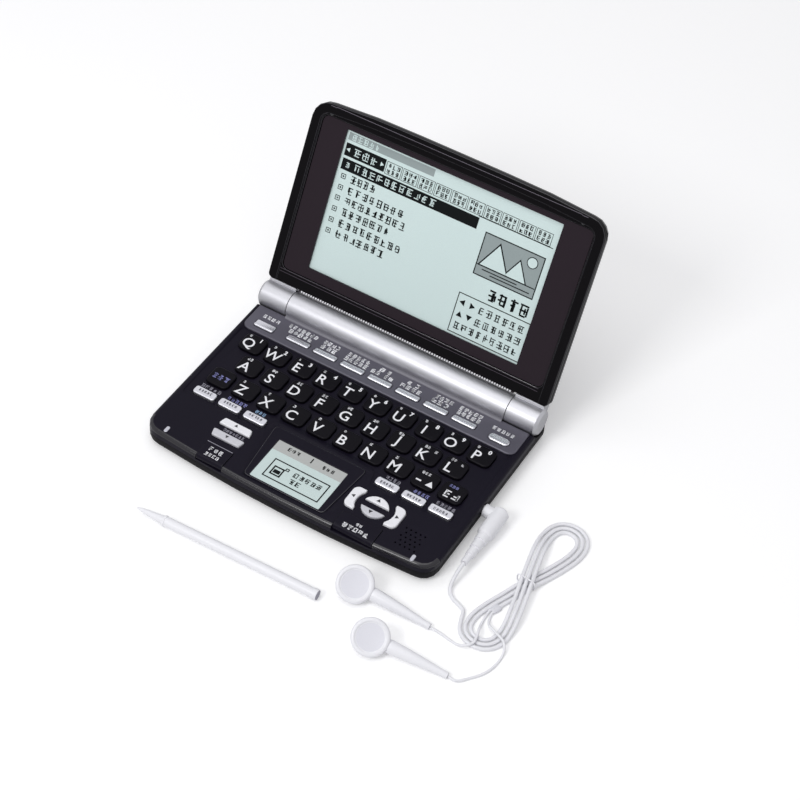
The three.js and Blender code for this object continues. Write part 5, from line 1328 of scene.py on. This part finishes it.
# Split: a small flat sleeve moulded in light grey plastic. It sits at the end of the hank, where the
# cord parts into its two leads.
SPLIT_HALF = Vector((1.7, 0.9)) * MM
SPLIT_PROFILE = ((0.75, -2.25), (0.95, -1.98), (1, -1.35), (1, 1.35), (0.95, 1.98), (0.75, 2.25))
outward = (hank_run[-1] - hank_run[-2]).normalized()
sideways = outward.cross(Vector((0, 0, 1)))
split_grey = surface("split_grey", (222, 222, 228), 0.4, 1800, 0.004 * MM, 0.05)
split = turned("cord_split", SPLIT_PROFILE, 24)
close_up(split, split_grey, corner=50)
split_axes = Matrix((sideways, Vector((0, 0, 1)), outward)).transposed().to_4x4()
split_shape = Matrix.Diagonal((SPLIT_HALF.x / MM, SPLIT_HALF.y / MM, 1, 1))
put(split, Matrix.Translation(hank_end) @ split_axes @ split_shape)
fit(split, "earphones", "white_plastic")

# Earphone plug: a right-angled moulding in white plastic over its pin, with a ribbed strain relief
# from which the cord runs. It is pushed into the socket at the right side of the case.
plug = moulding("earphone_plug", "earphone_plug_moulding", cord_white, edge=0.15 * MM, corner=40)
fit(plug, "earphones", "white_plastic", "earphone_plug")

# Earbuds and their leads: a round moulded head with a dished face inside a raised rim, and a tapered
# stem with a small collar, out of which the lead comes.
BUD_PROFILE = (
    (3.4, -7.6),
    (5.15, -6.25),
    (6.64, -4.74),
    (7.65, -3.5),
    (8.2, -2.5),
    (8.3, -1.7),
    (8.25, -0.9),
    (8.0, -0.4),
    (7.5, -0.08),
    (6.95, 0),
    (6.55, -0.12),
    (6.3, -0.45),
    (5.9, -0.6),
    (4, -0.8),
    (2, -0.92),
    (0.5, -0.95),
)
BUD_FACE_RADIUS = 6 * MM
BUD_FACE_SHARE = 0.6
BUD_TILT = math.radians(36)
BUD_TURN = math.radians(25)
BUD_NECK = 5 * MM
STEM_RADII = (3.4 * MM, 1.3 * MM)
STEM_TAPER = 1.5
STEM_STEPS = 24
STEM_NECK = 0.6
STEM_NECK_SHARE = 0.27
STEM_COLLAR = 0.2 * MM
BUD_PLACES = {
    "a": (Vector((-31.3, -36.5)) * MM, Vector((3.6, -33.6)) * MM),
    "b": (Vector((-11.8, -55.7)) * MM, Vector((22.1, -50.4)) * MM),
}
bud_face = surface("bud_face", (226, 226, 233), 0.5, 2600, 0.01 * MM, 0.06)
bud_white = surface("bud_white", (239, 239, 243), 0.36, 1800, 0.003 * MM, 0.04)
bud_turning = Matrix.Rotation(BUD_TURN, 4, "Z") @ Matrix.Rotation(BUD_TILT, 4, "X")
bud_low_side = [bud_turning @ Vector((0, -radius, height)) for radius, height in BUD_PROFILE]
bud_lowest = min(place.z for place in bud_low_side) * MM


def on_bud_face(middle, normal):
    return normal.z > BUD_FACE_SHARE and middle.xy.length < BUD_FACE_RADIUS


def earbud(letter):
    """Head and stem of one earbud, joined."""
    name = f"earbud_{letter}_moulding"
    head_place, stem_place = BUD_PLACES[letter]
    head_centre = Vector((*(RELIEF_END.xy + head_place), TABLE_LEVEL - bud_lowest))
    head = turned(name, BUD_PROFILE, 48)
    close_up(head, bud_white, corner=60)
    paint_faces(head, bud_face, on_bud_face)
    put(head, Matrix.Translation(head_centre) @ bud_turning)
    start = head_centre + bud_turning.to_3x3() @ Vector((0, 0, -BUD_NECK))
    start.z = max(start.z, TABLE_LEVEL + STEM_RADII[0])
    end = Vector((*(RELIEF_END.xy + stem_place), 0))
    places = []
    radii = []
    for index in range(STEM_STEPS + 1):
        share = index / STEM_STEPS
        radius = STEM_RADII[0] + (STEM_RADII[1] - STEM_RADII[0]) * share**STEM_TAPER
        radius *= STEM_NECK + (1 - STEM_NECK) * smooth_step(share / STEM_NECK_SHARE)
        place = start.lerp(end, share)
        place.z = TABLE_LEVEL + radius + (start.z - TABLE_LEVEL - STEM_RADII[0]) * (1 - share) / 2
        places.append(place)
        radii.append(radius)
    stem = cord_curve(name + "_stem", places, 2 * MM, bud_white, 6)
    for index, point in enumerate(stem.data.splines[0].points):
        collar = STEM_COLLAR if index >= STEM_STEPS - 1 else 0
        point.radius = (radii[index] + collar) / MM
    stem = as_mesh(stem)
    head.select_set(True)
    bpy.context.view_layer.objects.active = head
    bpy.ops.object.join()
    return bpy.context.object


for letter, side, route in (("a", 1, LEAD_A_ROUTE), ("b", -1, LEAD_B_ROUTE)):
    node = "earbud_" + letter
    bud = earbud(letter)
    fit(bud, "earphones", "white_plastic", node)
    start = hank_end + outward * SEAM + sideways * side * (LEAD_DIAMETER + SEAM) / 2
    stem_y = RELIEF_END.y + BUD_PLACES[letter][1].y
    stem_end = Vector((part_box(node)[1].x, stem_y, TABLE_LEVEL + LEAD_DIAMETER / 2))
    route_points = [
        start,
        start + outward * 2 * LEAD_DIAMETER,
        *on_table(route),
        stem_end + Vector((SEAM + 3 * LEAD_DIAMETER, 0, SEAM)),
        stem_end + Vector((SEAM, 0, SEAM)),
    ]
    run = through(route_points, 3)
    lead = cord_curve(f"lead_{letter}_run", run, LEAD_DIAMETER)
    fit(lead, "earphones", "white_plastic", "lead_" + letter)

# Stylus: a white moulded pen with a pointed tip behind a collar, and a flanged end with a dark face.
# It lies loose in front of the dictionary.
STYLUS_LENGTH = 90 * MM
STYLUS_MIDDLE = Vector((-7, -82.25, 1.75)) * MM
STYLUS_TURN = math.radians(2.2)
STYLUS_END_SHARE = 0.9
STYLUS_END = STYLUS_MIDDLE.x + 43 * MM
STYLUS_PROFILE = (
    (0.35, 0),
    (0.5, 0.25),
    (0.62, 1.2),
    (1.0, 2.72),
    (2.05, 13.6),
    (2.3, 13.6),
    (2.55, 13.85),
    (2.55, 14.6),
    (2.3, 14.8),
    (2.3, 87.4),
    (2.55, 87.6),
    (2.55, 89.6),
    (2.3, 90),
)
stylus = turned("stylus_pen", STYLUS_PROFILE, 32)
close_up(stylus, bud_white, corner=50)
stylus_turning = Matrix.Rotation(STYLUS_TURN, 4, "Z") @ Matrix.Rotation(math.pi / 2, 4, "Y")
half_back = Matrix.Translation((0, 0, -STYLUS_LENGTH / 2))
put(stylus, Matrix.Translation(STYLUS_MIDDLE) @ stylus_turning @ half_back)


def on_stylus_end(middle, normal):
    return normal.x > STYLUS_END_SHARE and middle.x > STYLUS_END


paint_faces(stylus, grey_ink_and_painted_glint, on_stylus_end)
fit(stylus, "stylus", "white_plastic", "stylus")

low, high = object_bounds()
